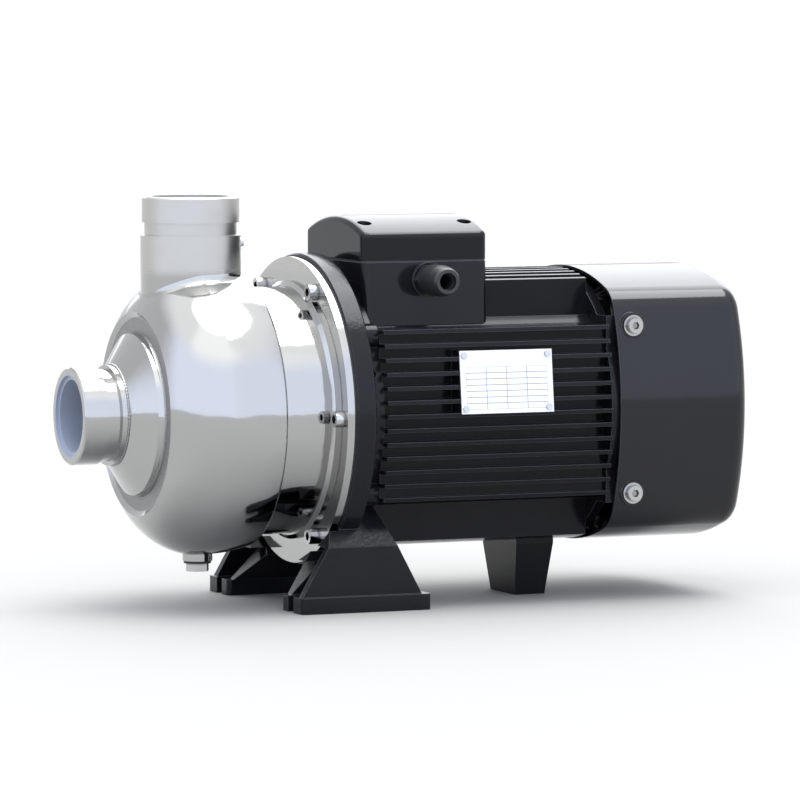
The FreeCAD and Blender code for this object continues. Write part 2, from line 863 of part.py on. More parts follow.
# Impeller, its fastening and the shaft seal
def impeller():
    """Closed impeller: two shrouds, curved vanes and a keyed hub."""
    body = new_body("impeller")
    back_front = "impeller_rear_x - shroud"
    turned(body, "back_shroud", [
        ("hub_front_x", "impeller_seat_radius + fit_gap / 2"), ("hub_front_x", "hub_radius - edge_break"),
        ("hub_front_x + edge_break", "hub_radius"),
        (back_front + " - shroud", "hub_radius"), (back_front, "hub_radius + 2 * shroud"),
        (back_front, "impeller_radius"), ("impeller_rear_x", "impeller_radius"),
        ("impeller_rear_x", "hub_radius"), ("hub_rear_x", "hub_radius"),
        ("hub_rear_x", "impeller_seat_radius + fit_gap / 2")])
    shroud_x = "impeller_front_x + shroud"
    eye_x = "impeller_front_x + shroud - eye_length"
    eye_outer = "wear_ring_radius - running_gap"
    turned(body, "front_shroud", [
        (eye_x, "eye_radius"), (eye_x, eye_outer),
        ("impeller_front_x - eye_arc", eye_outer, "eye_arc"),
        ("impeller_front_x", eye_outer + " + eye_arc"),
        ("impeller_front_x", "impeller_radius"), (shroud_x, "impeller_radius"),
        (shroud_x, "eye_radius + eye_arc + shroud"),
        ("impeller_front_x - eye_arc", "eye_radius")])
    vane = pad(body, "vane", "YZ_Plane", "impeller_front_x + shroud / 2", "impeller_width + shroud",
               vane_outline)
    around(body, "vane_ring", [vane], "vane_count")
    pocket(body, "keyway", "YZ_Plane", "hub_front_x - edge_break",
           "hub_rear_x - hub_front_x + 2 * edge_break",
           lambda sketch: rectangle(sketch, "-key_width / 2 - fit_gap / 2", "key_width / 2 + fit_gap / 2",
                                    "0", "key_high + fit_gap"))
    keep(body)


def vane_outline(sketch):
    """A vane of even thickness that bends back from the eye to the rim."""
    outline(sketch, [
        ("vane_inlet_radius", "0"), ("vane_inlet_radius + vane_thickness", "0", "-vane_arc"),
        ("impeller_radius * vane_face_x", "impeller_radius * vane_face_y"),
        ("impeller_radius * vane_back_x", "impeller_radius * vane_back_y", "vane_arc")])


def shaft_key():
    body = new_body("impeller_key")
    pad(body, "key_bar", "YZ_Plane", "impeller_rear_x - key_length", "key_length",
        lambda sketch: rectangle(sketch, "-key_width / 2", "key_width / 2", "key_low", "key_high"))
    keep(body)


def impeller_nut():
    body = new_body("impeller_nut")
    pad(body, "nut_hexagon", "YZ_Plane", "hub_front_x - nut_washer", "nut_height",
        lambda sketch: hexagon(sketch, "0", "0", "nut_hex_radius"), back=True)
    pocket(body, "nut_thread", "YZ_Plane", "hub_front_x", "nut_height + nut_washer + edge_break",
           lambda sketch: circle(sketch, "0", "0", "thread_end_radius + fit_gap / 2"), back=True)
    keep(body)


def back_cover():
    """Dished cover that closes the casing and holds the seal's fixed seat."""
    body = new_body("back_cover")
    pocket_rear = "dish_x + seal_pocket_depth"
    pocket_outer = "seal_pocket_radius + cover_wall"
    turned(body, "dish", [
        ("rim_x", "flange_radius"), ("bracket_x", "flange_radius"),
        ("bracket_x", "dish_radius - cover_wall"),
        ("dish_x + cover_wall", "dish_radius - cover_wall"), ("dish_x + cover_wall", pocket_outer),
        (pocket_rear, pocket_outer), (pocket_rear, "seal_lip_radius"),
        (pocket_rear + " - cover_wall", "seal_lip_radius"),
        (pocket_rear + " - cover_wall", "seal_pocket_radius"),
        ("dish_x", "seal_pocket_radius"), ("dish_x", "dish_radius"), ("rim_x", "dish_radius")])
    fillet(body, "dish_corner", lambda edge: is_ring(edge, "dish_x", "dish_radius"), "cover_wall * 2")
    fillet(body, "dish_inner_corner",
           lambda edge: is_ring(edge, "dish_x + cover_wall", "dish_radius - cover_wall"), "cover_wall")
    hole = pocket(
        body, "cover_screw_hole", "YZ_Plane", "rim_x - edge_break", "cover_wall + 2 * edge_break",
        lambda sketch: circle(sketch, "casing_screw_circle", "0", "cap_screw_radius + running_gap"))
    around(body, "cover_screw_hole_ring", [hole], "casing_screw_count")
    keep(body)


def casing_o_ring():
    body = new_body("casing_o_ring")
    sketch = new_sketch(body, "o_ring_section", "XZ_Plane")
    circle(sketch, "rim_x - o_ring_radius", "dish_radius + o_ring_radius + fit_gap", "o_ring_radius")
    add(body, "Revolution", "o_ring_ring", sketch, ReferenceAxis=(sketch, ["H_Axis"]), Angle=360)
    keep(body)


def casing_screws():
    """Socket cap screws that hold casing and cover to the bracket."""
    body = new_body("casing_screws")
    shank = pad(body, "cap_shank", "YZ_Plane", "flange_x", "cap_screw_length",
                lambda sketch: circle(sketch, "casing_screw_circle", "0", "cap_screw_radius"))
    head = pad(body, "cap_head", "YZ_Plane", "flange_x", "cap_head",
               lambda sketch: circle(sketch, "casing_screw_circle", "0", "cap_head_radius"), back=True)
    socket = pocket(body, "cap_socket", "YZ_Plane", "flange_x - cap_head", "cap_socket_depth",
                    lambda sketch: hexagon(sketch, "casing_screw_circle", "0", "cap_socket_radius"))
    around(body, "cap_screw_ring", [shank, head, socket], "casing_screw_count")
    keep(body)


def shaft_seal():
    """Mechanical seal: a turning head that faces a seat in the cover."""
    keep(ring("seal_seat", "seat_front_x", "seat_front_x + seat_length", "seat_bore",
              "seal_pocket_radius - fit_gap"))
    keep(ring("seal_seat_gasket", "seat_front_x + seat_length",
              "seat_front_x + seat_length + seat_gasket", "seal_lip_radius",
              "seal_pocket_radius - fit_gap"))
    head = new_body("seal_head")
    bore = "seal_seat_radius + fit_gap / 2"
    face_x = "seat_front_x - running_gap"
    turned(head, "seal_head_case", [
        ("hub_rear_x", bore), ("hub_rear_x", "seal_head_radius - edge_break"),
        ("hub_rear_x + edge_break", "seal_head_radius"),
        (face_x + " - 2 * edge_break", "seal_head_radius"),
        (face_x + " - 2 * edge_break", "seal_head_radius - 2 * edge_break"),
        (face_x, "seal_head_radius - 2 * edge_break"), (face_x, "seat_bore + edge_break"),
        (face_x + " - edge_break", bore)])
    keep(head)


impeller()
shaft_key()
keep(ring("impeller_washer", "hub_front_x - nut_washer", "hub_front_x",
          "thread_end_radius + fit_gap", "nut_washer_radius"))
impeller_nut()
back_cover()
casing_o_ring()
casing_screws()
shaft_seal()


# Bracket with the pump's two feet
def bar(label, start, length, radius):
    """A round bar along the shaft axis."""
    item = doc.addObject("Part::Cylinder", label)
    item.Placement.Rotation = FreeCAD.Rotation(FreeCAD.Vector(0, 1, 0), 90)
    bind(item, Radius=radius, Height=length)
    place(item, x=start, z="shaft_height")
    return item


def block(label, x, y, z, length, width, height):
    item = doc.addObject("Part::Box", label)
    bind(item, Length=length, Width=width, Height=height)
    place(item, x=x, y=y, z=z)
    return item


def bracket_body():
    """Turned part of the bracket: bolting flange, web, bearing hub and spigot."""
    body = new_body("bracket_body")
    inner = "bracket_body_radius - bracket_wall"
    web_rear = "bracket_body_x + edge_break"
    seal_front = "oil_seal_x - 2 * edge_break"
    turned(body, "bracket_turning", [
        ("bracket_x", "dish_radius + 2 * edge_break"), ("bracket_x", "bracket_flange_radius - edge_break"),
        ("bracket_x + edge_break", "bracket_flange_radius"),
        ("bracket_body_x - edge_break", "bracket_flange_radius"),
        ("bracket_body_x", "bracket_flange_radius - edge_break"),
        ("bracket_body_x", "bracket_body_radius"), ("frame_x", "bracket_body_radius"),
        ("frame_x", "frame_bore - fit_gap"), ("frame_x + register_depth", "frame_bore - fit_gap"),
        ("frame_x + register_depth", inner), (web_rear, inner),
        (web_rear, "bearing_hub_radius"),
        ("front_bearing_rear_x + edge_break", "bearing_hub_radius"),
        ("front_bearing_rear_x + edge_break", "front_bearing_outer + fit_gap"),
        ("front_bearing_x", "front_bearing_outer + fit_gap"),
        ("front_bearing_x", "oil_seal_radius + fit_gap"), ("oil_seal_x", "oil_seal_radius + fit_gap"),
        ("oil_seal_x", "front_bearing_seat + 4 * edge_break"),
        (seal_front, "front_bearing_seat + 4 * edge_break"),
        (seal_front, "bearing_hub_radius"),
        ("bracket_body_x - bracket_web", "bearing_hub_radius"),
        ("bracket_body_x - bracket_web", "dish_radius - bracket_web")])
    pad(body, "tie_bolt_lugs", "YZ_Plane", "bracket_body_x", "frame_x - bracket_body_x",
        lambda sketch: [circle(sketch, across, up, "lug_radius")
                        for across, up in corners_of("tie_bolt_y", "tie_bolt_z")])
    pocket(body, "tie_bolt_threads", "YZ_Plane", "frame_x", "frame_x - bracket_body_x + bracket_web",
           lambda sketch: [circle(sketch, across, up, "tie_bolt_radius + fit_gap")
                           for across, up in corners_of("tie_bolt_y", "tie_bolt_z")], back=True)
    pocket(body, "weep_holes", "XZ_Plane", "0", "2 * bracket_flange_radius",
           lambda sketch: circle(sketch, "bracket_body_x + bracket_web", "weep_hole_rise",
                                 "weep_hole_radius"), both=True)
    return body


def leg_block():
    """Both legs as one block: a side view and a front view in common."""
    side = new_body("leg_side_view", "0")
    pad(side, "leg_side", "XZ_Plane", "0", "2 * leg_outer", lambda sketch: outline(sketch, [
        ("pad_front_x + leg_inset", "pad_height / 2"),
        ("pad_rear_x - leg_rear_inset", "pad_height / 2"),
        ("pad_rear_x - leg_rear_inset", "pad_height"),
        ("pad_middle_x + leg_waist_rear", "leg_waist_height"),
        ("pad_middle_x + leg_top_rear", "leg_top_height"),
        ("pad_middle_x - leg_top_front", "leg_top_height"),
        ("pad_middle_x - leg_waist_front", "leg_waist_height"),
        ("pad_front_x + leg_inset", "pad_height")]), both=True)
    front = new_body("leg_front_view", "0")
    pad(front, "leg_front", "YZ_Plane", "0", "4 * pad_length", lambda sketch: outline(sketch, [
        ("-leg_outer", "0"), ("-pad_inner", "0"), ("-pad_inner", "pad_height"),
        ("-pad_inner / 2", "arch_top"), ("pad_inner / 2", "arch_top"),
        ("pad_inner", "pad_height"), ("pad_inner", "0"), ("leg_outer", "0"),
        ("leg_outer", "leg_waist_height"), ("leg_top_half", "leg_top_height"),
        ("-leg_top_half", "leg_top_height"), ("-leg_outer", "leg_waist_height")]), both=True)
    return boolean("Common", "leg_block", side, front)


def leg_room():
    """What the legs leave free: the motor, the casing, the bolts and their way in."""
    recess = new_body("leg_recess", "0")
    cut = pad(recess, "leg_recess_room", "XZ_Plane", "pad_inner + leg_wall",
              "leg_outer - pad_inner - 2 * leg_wall", lambda sketch: outline(sketch, [
                  ("pad_front_x - edge_break", "pad_height"),
                  ("pad_rear_x - leg_rear_inset - leg_wall", "pad_height"),
                  ("pad_middle_x + leg_waist_rear - leg_wall", "leg_waist_height"),
                  ("pad_front_x - edge_break", "leg_waist_height")]))
    mirrored(recess, "other_leg_recess", [cut], "XZ_Plane")
    web = new_body("inner_web_slope", "0")
    pad(web, "inner_web_cut", "XZ_Plane", "0", "2 * pad_inner + 2 * leg_wall",
        lambda sketch: outline(sketch, [
            ("pad_front_x - edge_break", "pad_height"), ("pad_front_x + 2 * leg_inset", "pad_height"),
            ("pad_front_x + 2 * leg_inset + web_set_back", "pad_height + web_set_back"),
            ("pad_front_x - edge_break", "pad_height + web_set_back")]), both=True)
    frame_y = "top_wall + 2 * leg_clearance"
    return [
        recess, web,
        bar("leg_shaft_room", "-pad_length", "3 * pad_length", "bracket_body_radius - leg_clearance"),
        bar("leg_casing_room", "-pad_length", "pad_length + bracket_x",
            "bracket_flange_radius + leg_clearance"),
        block("leg_frame_room", "frame_x", minus(frame_y), "shaft_height - frame_half - 2 * leg_clearance",
              "pad_length", "2 * top_wall + 4 * leg_clearance", "frame_half")]


def foot_pads():
    """Two foot pads, each with a slot that is open towards the pump end."""
    body = new_body("foot_pads", "0")
    pad(body, "foot_pad", "XY_Plane", "0", "pad_height",
        lambda sketch: rectangle(sketch, "pad_front_x", "pad_rear_x", "pad_inner", "pad_outer"))
    fillet(body, "foot_pad_corners", lambda edge: runs_along(edge, "z"), "pad_corner")
    other = doc.addObject("Part::Mirroring", "other_foot_pad")
    other.Source = body
    other.Normal = FreeCAD.Vector(0, 1, 0)
    return fuse("both_foot_pads", body, other)


def foot_slots():
    body = new_body("foot_slots", "0")
    way = pad(body, "foot_slot_way", "XY_Plane", "-edge_break", "pad_height + 2 * edge_break",
              lambda sketch: rectangle(sketch, "-slot_reach - edge_break", "0",
                                       "slot_spread - slot_radius", "slot_spread + slot_radius"))
    end = pad(body, "foot_slot_end", "XY_Plane", "-edge_break", "pad_height + 2 * edge_break",
              lambda sketch: circle(sketch, "0", "slot_spread", "slot_radius"))
    mirrored(body, "other_foot_slot", [way, end], "XZ_Plane")
    return body


def casing_screw_threads():
    body = new_body("casing_screw_threads")
    hole = pad(body, "casing_screw_thread", "YZ_Plane", "bracket_x - edge_break",
               "cap_screw_length - flange_plate - cover_wall + 2 * edge_break",
               lambda sketch: circle(sketch, "casing_screw_circle", "0", "cap_screw_radius + fit_gap"))
    around(body, "casing_screw_thread_ring", [hole], "casing_screw_count")
    return body


def pump_bracket():
    legs = boolean("Cut", "bracket_legs", leg_block(), together("leg_rooms", *leg_room()))
    whole = fuse("bracket_whole", bracket_body(), legs, foot_pads())
    holes = together("bracket_holes", foot_slots(), casing_screw_threads())
    keep(boolean("Cut", "pump_bracket", whole, holes))


pump_bracket()


# Rotor, bearings and what turns with the shaft
def motor_shaft():
    """One stepped shaft that carries impeller, rotor and fan."""
    body = new_body("motor_shaft")
    seat_x = "hub_front_x + edge_break"
    turned(body, "shaft_turning", [
        ("thread_end_x", "0"), ("thread_end_x", "thread_end_radius - edge_break"),
        ("thread_end_x + edge_break", "thread_end_radius"), (seat_x, "thread_end_radius"),
        (seat_x, "impeller_seat_radius"), ("hub_rear_x", "impeller_seat_radius"),
        ("hub_rear_x", "seal_seat_radius"), ("slinger_x - edge_break", "seal_seat_radius"),
        ("slinger_x - edge_break", "front_bearing_seat"), ("front_bearing_rear_x", "front_bearing_seat"),
        ("front_bearing_rear_x", "shaft_shoulder"), ("stator_x", "shaft_shoulder"),
        ("stator_x", "rotor_bore"), ("stator_rear_x", "rotor_bore"),
        ("stator_rear_x", "shaft_shoulder"), ("rear_bearing_x", "shaft_shoulder"),
        ("rear_bearing_x", "rear_bearing_seat"), ("fan_x", "rear_bearing_seat"),
        ("fan_x", "fan_seat_radius"), ("fan_rear_x", "fan_seat_radius"),
        ("fan_rear_x", "circlip_groove_radius"),
        ("fan_rear_x + circlip_width", "circlip_groove_radius"),
        ("fan_rear_x + circlip_width", "fan_seat_radius"),
        ("shaft_end_x - edge_break", "fan_seat_radius"),
        ("shaft_end_x", "fan_seat_radius - edge_break"), ("shaft_end_x", "0")])
    pocket(body, "shaft_keyway", "YZ_Plane", "impeller_rear_x - key_length", "key_length",
           lambda sketch: rectangle(sketch, "-key_width / 2", "key_width / 2", "key_low",
                                    "seal_seat_radius + edge_break"))
    keep(body)


def rotor():
    keep(ring("rotor_core", "stator_x", "stator_rear_x", "rotor_bore + fit_gap / 2", "rotor_radius"))
    body = new_body("rotor_end_rings")
    for label, start, finish in (("front_end_ring", "stator_x - end_ring_length", "stator_x"),
                                 ("rear_end_ring", "stator_rear_x", "stator_rear_x + end_ring_length")):
        turned(body, label, [
            (start, "end_ring_inner"), (start, "rotor_radius - edge_break"),
            (finish, "rotor_radius - edge_break"), (finish, "end_ring_inner")])
    keep(body)


def water_slinger():
    """Disc that throws water off the shaft ahead of the bearing."""
    body = new_body("water_slinger")
    bore = "front_bearing_seat + fit_gap / 2"
    turned(body, "slinger_turning", [
        ("slinger_x", bore), ("slinger_x", "front_bearing_seat + slinger_width"),
        ("slinger_x + slinger_width / 2", "slinger_radius"),
        ("slinger_x + slinger_width", "slinger_radius"), ("slinger_x + slinger_width", bore)])
    keep(body)


def shaft_oil_seal():
    """Lip seal between the bracket and the shaft."""
    body = new_body("shaft_oil_seal")
    bore = "front_bearing_seat + running_gap"
    rear = "oil_seal_x + oil_seal_width"
    turned(body, "oil_seal_section", [
        ("oil_seal_x", bore), ("oil_seal_x", "oil_seal_radius"), (rear, "oil_seal_radius"),
        (rear, "oil_seal_radius - 2 * edge_break"),
        ("oil_seal_x + 2 * edge_break", "oil_seal_radius - 2 * edge_break"),
        ("oil_seal_x + 2 * edge_break", "front_bearing_seat + 3 * edge_break"),
        (rear + " - 2 * edge_break", "front_bearing_seat + 2 * edge_break"),
        (rear + " - 2 * edge_break", bore)])
    keep(body)


def bearing(side):
    """Deep groove ball bearing of the front or rear end."""
    start = side + "_bearing_x"
    width = side + "_bearing_width"
    outer = side + "_bearing_outer"
    ball = side + "_ball_radius"
    balls_round = side + "_ball_circle"
    finish = start + " + " + width
    middle = start + " + " + width + " / 2"
    groove = ball + " + running_gap"
    rings = (("_bearing_outer_ring", balls_round + " + " + ball + " / 2", outer),
             ("_bearing_inner_ring", side + "_bearing_seat + fit_gap / 2",
              balls_round + " - " + ball + " / 2"))
    for suffix, low, high in rings:
        body = ring(side + suffix, start, finish, low, high)
        sketch = new_sketch(body, side + suffix + "_groove_section", "XZ_Plane")
        circle(sketch, middle, balls_round, groove)
        add(body, "Groove", side + suffix + "_groove", sketch, ReferenceAxis=(sketch, ["H_Axis"]),
            Angle=360)
        keep(body)
    balls = new_body(side + "_bearing_balls")
    sphere = balls.newObject("PartDesign::AdditiveSphere", side + "_ball")
    bind(sphere, Radius=ball)
    place(sphere, x=middle, z=balls_round)
    balls.Tip = sphere
    around(balls, side + "_ball_ring", [sphere], side + "_ball_count")
    keep(balls)
    reach = ball + " - cage_wall"
    cage = ring(side + "_bearing_cage", middle + " - " + reach, middle + " + " + ball + " + cage_wall",
                balls_round + " - cage_wall / 2", balls_round + " + cage_wall / 2")
    hole = pocket(cage, side + "_cage_pocket", "XY_Plane", "0", "2 * " + outer,
                  lambda sketch: circle(sketch, middle, "0", ball + " + fit_gap * 2"))
    around(cage, side + "_cage_pockets", [hole], side + "_ball_count")
    keep(cage)


motor_shaft()
rotor()
water_slinger()
shaft_oil_seal()
bearing("front")
bearing("rear")
keep(ring("bearing_wave_spring", "rear_bearing_rear_x", "rear_bearing_rear_x + wave_spring",
          "rear_bearing_outer - 4 * edge_break", "rear_bearing_outer - edge_break / 2"))


# Motor frame, stator and rear end
def frame_casting():
    """Finned frame: crowned side and end blocks about a round shell."""
    body = new_body("frame_casting")
    whole_x = "frame_x - edge_break"
    whole_length = "frame_length + 2 * edge_break"
    pad(body, "side_blocks", "YZ_Plane", "frame_x", "frame_length", lambda sketch: outline(sketch, [
        ("-frame_side", "ledge_height", "side_crown"), ("-frame_side", "-ledge_height"),
        ("frame_side", "-ledge_height", "side_crown"), ("frame_side", "ledge_height")]))
    pad(body, "bottom_block", "YZ_Plane", "frame_x", "frame_length", lambda sketch: outline(sketch, [
        ("-top_wall", "0"), ("-top_wall", "-frame_top", "side_crown"),
        ("top_wall", "-frame_top"), ("top_wall", "0")]))
    pad(body, "top_block", "YZ_Plane", "box_rear_x", "frame_rear_x - box_rear_x",
        lambda sketch: outline(sketch, [
            ("top_wall", "0"), ("top_wall", "frame_top", "side_crown"),
            ("-top_wall", "frame_top"), ("-top_wall", "0")]))
    pad(body, "shell", "YZ_Plane", "frame_x", "frame_length",
        lambda sketch: circle(sketch, "0", "0", "shell_radius"))
    for side, near, far in (("near", "-frame_half - edge_break", "-channel_floor"),
                            ("far", "channel_floor", "frame_half + edge_break")):
        channel = pocket(body, side + "_channel", "YZ_Plane", whole_x, whole_length,
                         lambda sketch: rectangle(sketch, near, far, "fin_thickness - ledge_height",
                                                  "ledge_pitch - ledge_height"))
        in_row(body, side + "_channels", [channel], "Z_Axis",
               "side_channels * ledge_pitch - ledge_pitch", "side_channels")
    channel = pocket(body, "top_channel", "YZ_Plane", "box_rear_x", "frame_length",
                     lambda sketch: rectangle(sketch, "fin_thickness - top_wall", "top_pitch - top_wall",
                                              "channel_floor", "frame_half + edge_break"))
    in_row(body, "top_channels_row", [channel], "Y_Axis",
           "top_channels * top_pitch - top_pitch", "top_channels")
    pad(body, "nameplate_pad", "YZ_Plane", "plate_x - plate_length / 2", "plate_length",
        lambda sketch: outline(sketch, [
            ("-channel_floor", "plate_middle - plate_height / 2"),
            ("-channel_floor", "plate_middle + plate_height / 2"),
            ("-plate_seat + plate_lean", "plate_middle + plate_height / 2"),
            ("-plate_seat - plate_lean", "plate_middle - plate_height / 2")]))
    pocket(body, "nameplate_relief", "YZ_Plane", "plate_x - plate_length / 2", "plate_length",
           lambda sketch: outline(sketch, [
               ("-plate_seat - plate_lean", "plate_middle - plate_height / 2"),
               ("-plate_seat + plate_lean", "plate_middle + plate_height / 2"),
               ("-plate_seat - 2 * plate_lean", "plate_middle + plate_height / 2"),
               ("-plate_seat - 2 * plate_lean", "plate_middle - plate_height / 2")]))
    pad(body, "support_pad", "XY_Plane", "-frame_half - support_pad_drop", "frame_half - channel_floor",
        lambda sketch: centred(sketch, "support_x", "support_top_length / 2", "support_top_width / 2"))
    pocket(body, "frame_bore_cut", "YZ_Plane", whole_x, whole_length,
           lambda sketch: circle(sketch, "0", "0", "frame_bore"))
    pocket(body, "tie_bolt_holes", "YZ_Plane", whole_x, whole_length,
           lambda sketch: [circle(sketch, across, up, "tie_bolt_hole")
                           for across, up in corners_of("tie_bolt_y", "tie_bolt_z")])
    pocket(body, "wire_hole", "XY_Plane", "0", "frame_half",
           lambda sketch: circle(sketch, "wire_x", "0", "wire_hole_radius"))
    pocket(body, "support_screw_threads", "XY_Plane", "-frame_half - support_pad_drop",
           "support_screw_length - support_roof + edge_break",
           lambda sketch: support_screw_circles(sketch, "support_screw_radius + fit_gap"))
    return body


def centred(sketch, across, half_length, half_width):
    """A rectangle about a place on the sketch's own horizontal axis."""
    rectangle(sketch, across + " " + minus(half_length), across + " + " + half_length,
              minus(half_width), half_width)


def support_screw_circles(sketch, radius):
    for sign in ("-", ""):
        circle(sketch, "support_x", sign + "support_screw_spacing / 2", radius)


def on_nameplate(label):
    """A body whose -Y side is the leaning face of the nameplate's pad."""
    body = doc.addObject("PartDesign::Body", label)
    body.AllowCompound = True
    body.Placement.Rotation = FreeCAD.Rotation(FreeCAD.Vector(1, 0, 0), -value("plate_tilt"))
    place(body, x="plate_x", y="-plate_seat", z="shaft_height + plate_middle")
    return body


def rivet_circles(sketch, radius):
    for across, up in corners_of("plate_length / 2 - rivet_inset", "plate_height / 2 - rivet_inset"):
        circle(sketch, across, up, radius)


def motor_frame():
    holes = on_nameplate("rivet_holes")
    pad(holes, "rivet_hole", "XZ_Plane", "0", "rivet_length + edge_break",
        lambda sketch: rivet_circles(sketch, "rivet_radius + fit_gap"), both=True)
    keep(boolean("Cut", "motor_frame", frame_casting(), holes))


def nameplate():
    """Bare plate with four rivets."""
    body = on_nameplate("nameplate")
    pad(body, "plate", "XZ_Plane", "0", "plate_thickness",
        lambda sketch: centred(sketch, "0", "plate_length / 2", "plate_height / 2"))
    pocket(body, "plate_holes", "XZ_Plane", "0", "plate_thickness",
           lambda sketch: rivet_circles(sketch, "rivet_radius + fit_gap"))
    keep(body)
    rivets = on_nameplate("nameplate_rivets")
    pad(rivets, "rivet_shanks", "XZ_Plane", "plate_thickness", "rivet_length / 2 + plate_thickness",
        lambda sketch: rivet_circles(sketch, "rivet_radius"), back=True)
    pad(rivets, "rivet_heads", "XZ_Plane", "plate_thickness", "rivet_head",
        lambda sketch: rivet_circles(sketch, "rivet_head_radius"))
    keep(rivets)


def stator():
    """Laminated core with open slots, and one winding through all of them."""
    core = ring("stator_core", "stator_x", "stator_rear_x", "stator_bore", "frame_bore - fit_gap")
    slot = pocket(core, "stator_slot", "YZ_Plane", "stator_x - edge_break",
                  "stator_length + 2 * edge_break",
                  lambda sketch: rectangle(sketch, "-slot_width / 2", "slot_width / 2",
                                           "stator_bore / 2", "stator_bore + slot_depth"))
    around(core, "stator_slots", [slot], "slot_count")
    keep(core)
    winding = new_body("stator_windings")
    side = pad(winding, "coil_side", "YZ_Plane", "stator_x - winding_length / 2",
               "stator_length + winding_length",
               lambda sketch: rectangle(sketch, "running_gap - slot_width / 2",
                                        "slot_width / 2 - running_gap", "stator_bore + edge_break",
                                        "stator_bore + slot_depth - running_gap"))
    around(winding, "coil_sides", [side], "slot_count")
    for label, start, finish in (
            ("front_end_turns", "stator_x - winding_length", "stator_x - edge_break"),
            ("rear_end_turns", "stator_rear_x + winding_length", "stator_rear_x + edge_break")):
        turned(winding, label, [
            (finish, "winding_inner"), (start, "winding_inner + 3 * edge_break"),
            (start, "winding_outer - 3 * edge_break"), (finish, "winding_outer")])
    keep(winding)


def rear_end_shield():
    """End shield with the rear bearing's seat and lugs for the fan cover."""
    body = new_body("rear_end_shield")
    bearing_bore = "rear_bearing_outer + fit_gap"
    lip_x = "shield_hub_x - shield_lip"
    spigot_x = "frame_rear_x - spigot_length"
    ear_top = "cover_screw_z + cover_lug_radius"
    pad(body, "shield_ears", "YZ_Plane", "frame_rear_x", "shield_plate", lambda sketch: (
        rectangle(sketch, "-cover_lug_outer", "cover_lug_outer", minus(ear_top), ear_top),
        circle(sketch, "0", "0", "shield_hub_radius")))
    turned(body, "shield_turning", [
        ("rear_bearing_x", bearing_bore), ("rear_bearing_x", "shield_hub_radius"),
        ("frame_rear_x", "shield_hub_radius"), ("frame_rear_x", "frame_bore - spigot_wall"),
        (spigot_x, "frame_bore - spigot_wall"), (spigot_x, "frame_bore - fit_gap"),
        ("frame_rear_x", "frame_bore - fit_gap"), ("frame_rear_x", "shield_radius"),
        ("shield_rear_x", "shield_radius"), ("shield_rear_x", "shield_hub_radius"),
        ("shield_hub_x", "shield_hub_radius - edge_break"),
        ("shield_hub_x", "rear_bearing_seat + 2 * edge_break"),
        (lip_x, "rear_bearing_seat + 2 * edge_break"), (lip_x, bearing_bore)])
    lugs = []
    for name, up in (("upper", "cover_screw_z"), ("lower", "-cover_screw_z")):
        lugs.append(pad(body, name + "_cover_lug", "XZ_Plane", "cover_lug_inner",
                        "cover_lug_outer - cover_lug_inner",
                        lambda sketch: rectangle(sketch, "frame_rear_x", "cover_screw_x",
                                                 up + " - cover_lug_radius", up + " + cover_lug_radius")))
        lugs.append(pad(body, name + "_lug_end", "XZ_Plane", "cover_lug_inner",
                        "cover_lug_outer - cover_lug_inner",
                        lambda sketch: circle(sketch, "cover_screw_x", up, "cover_lug_radius")))
    mirrored(body, "far_cover_lugs", lugs, "XZ_Plane")
    pocket(body, "cover_screw_threads", "XZ_Plane", "0", "3 * cover_lug_outer",
           lambda sketch: [circle(sketch, "cover_screw_x", up, "cover_screw_radius + fit_gap")
                           for up in ("cover_screw_z", "-cover_screw_z")], both=True)
    pocket(body, "shield_bolt_holes", "YZ_Plane", "frame_rear_x - edge_break",
           "shield_plate + 2 * edge_break",
           lambda sketch: [circle(sketch, across, up, "tie_bolt_hole")
                           for across, up in corners_of("tie_bolt_y", "tie_bolt_z")])
    keep(body)


def tie_bolts():
    """Long screws that draw shield, frame and bracket together."""
    body = new_body("tie_bolts")
    pad(body, "tie_bolt_shanks", "YZ_Plane", "frame_x - tie_bolt_engagement",
        "frame_length + shield_plate + tie_bolt_engagement",
        lambda sketch: [circle(sketch, across, up, "tie_bolt_radius")
                        for across, up in corners_of("tie_bolt_y", "tie_bolt_z")])
    pad(body, "tie_bolt_heads", "YZ_Plane", "shield_rear_x", "tie_bolt_head",
        lambda sketch: [hexagon(sketch, across, up, "tie_bolt_head_radius")
                        for across, up in corners_of("tie_bolt_y", "tie_bolt_z")])
    keep(body)


def cooling_fan():
    """Straight-bladed fan for either direction of rotation."""
    body = new_body("cooling_fan")
    bore = "fan_seat_radius + fit_gap / 2"
    turned(body, "fan_hub", [
        ("fan_x", bore), ("fan_x", "fan_radius - fan_disc"),
        ("fan_x + fan_disc", "fan_radius - fan_disc"), ("fan_x + fan_disc", "fan_hub_radius"),
        ("fan_rear_x", "fan_hub_radius - edge_break"), ("fan_rear_x", bore)])
    blade = pad(body, "fan_blade", "XZ_Plane", "0", "fan_blade_thickness", lambda sketch: outline(sketch, [
        ("fan_x", "fan_hub_radius - 2 * edge_break"), ("fan_rear_x", "fan_hub_radius - 2 * edge_break"),
        ("fan_rear_x", "fan_hub_radius + fan_disc"), ("fan_rear_x - fan_blade_step", "fan_radius"),
        ("fan_x", "fan_radius")]), both=True)
    around(body, "fan_blades", [blade], "fan_blade_count")
    keep(body)


def cover_form(label, start, length, crown, corner, corner_round, rear_round):
    """One surface of the fan cover: four crowned sides and a rounded rear."""
    body = new_body(label)
    pad(body, label + "_sides", "YZ_Plane", start, length, lambda sketch: outline(sketch, [
        (corner, corner, crown), (minus(corner), corner, crown),
        (minus(corner), minus(corner), crown), (corner, minus(corner), crown)]))
    fillet(body, label + "_corners", lambda edge: runs_along(edge, "x"), corner_round)
    rear = value(start + " + " + length)
    fillet(body, label + "_rear_rim",
           lambda edge: edge.BoundBox.XMin > rear - 0.01, rear_round)
    return body


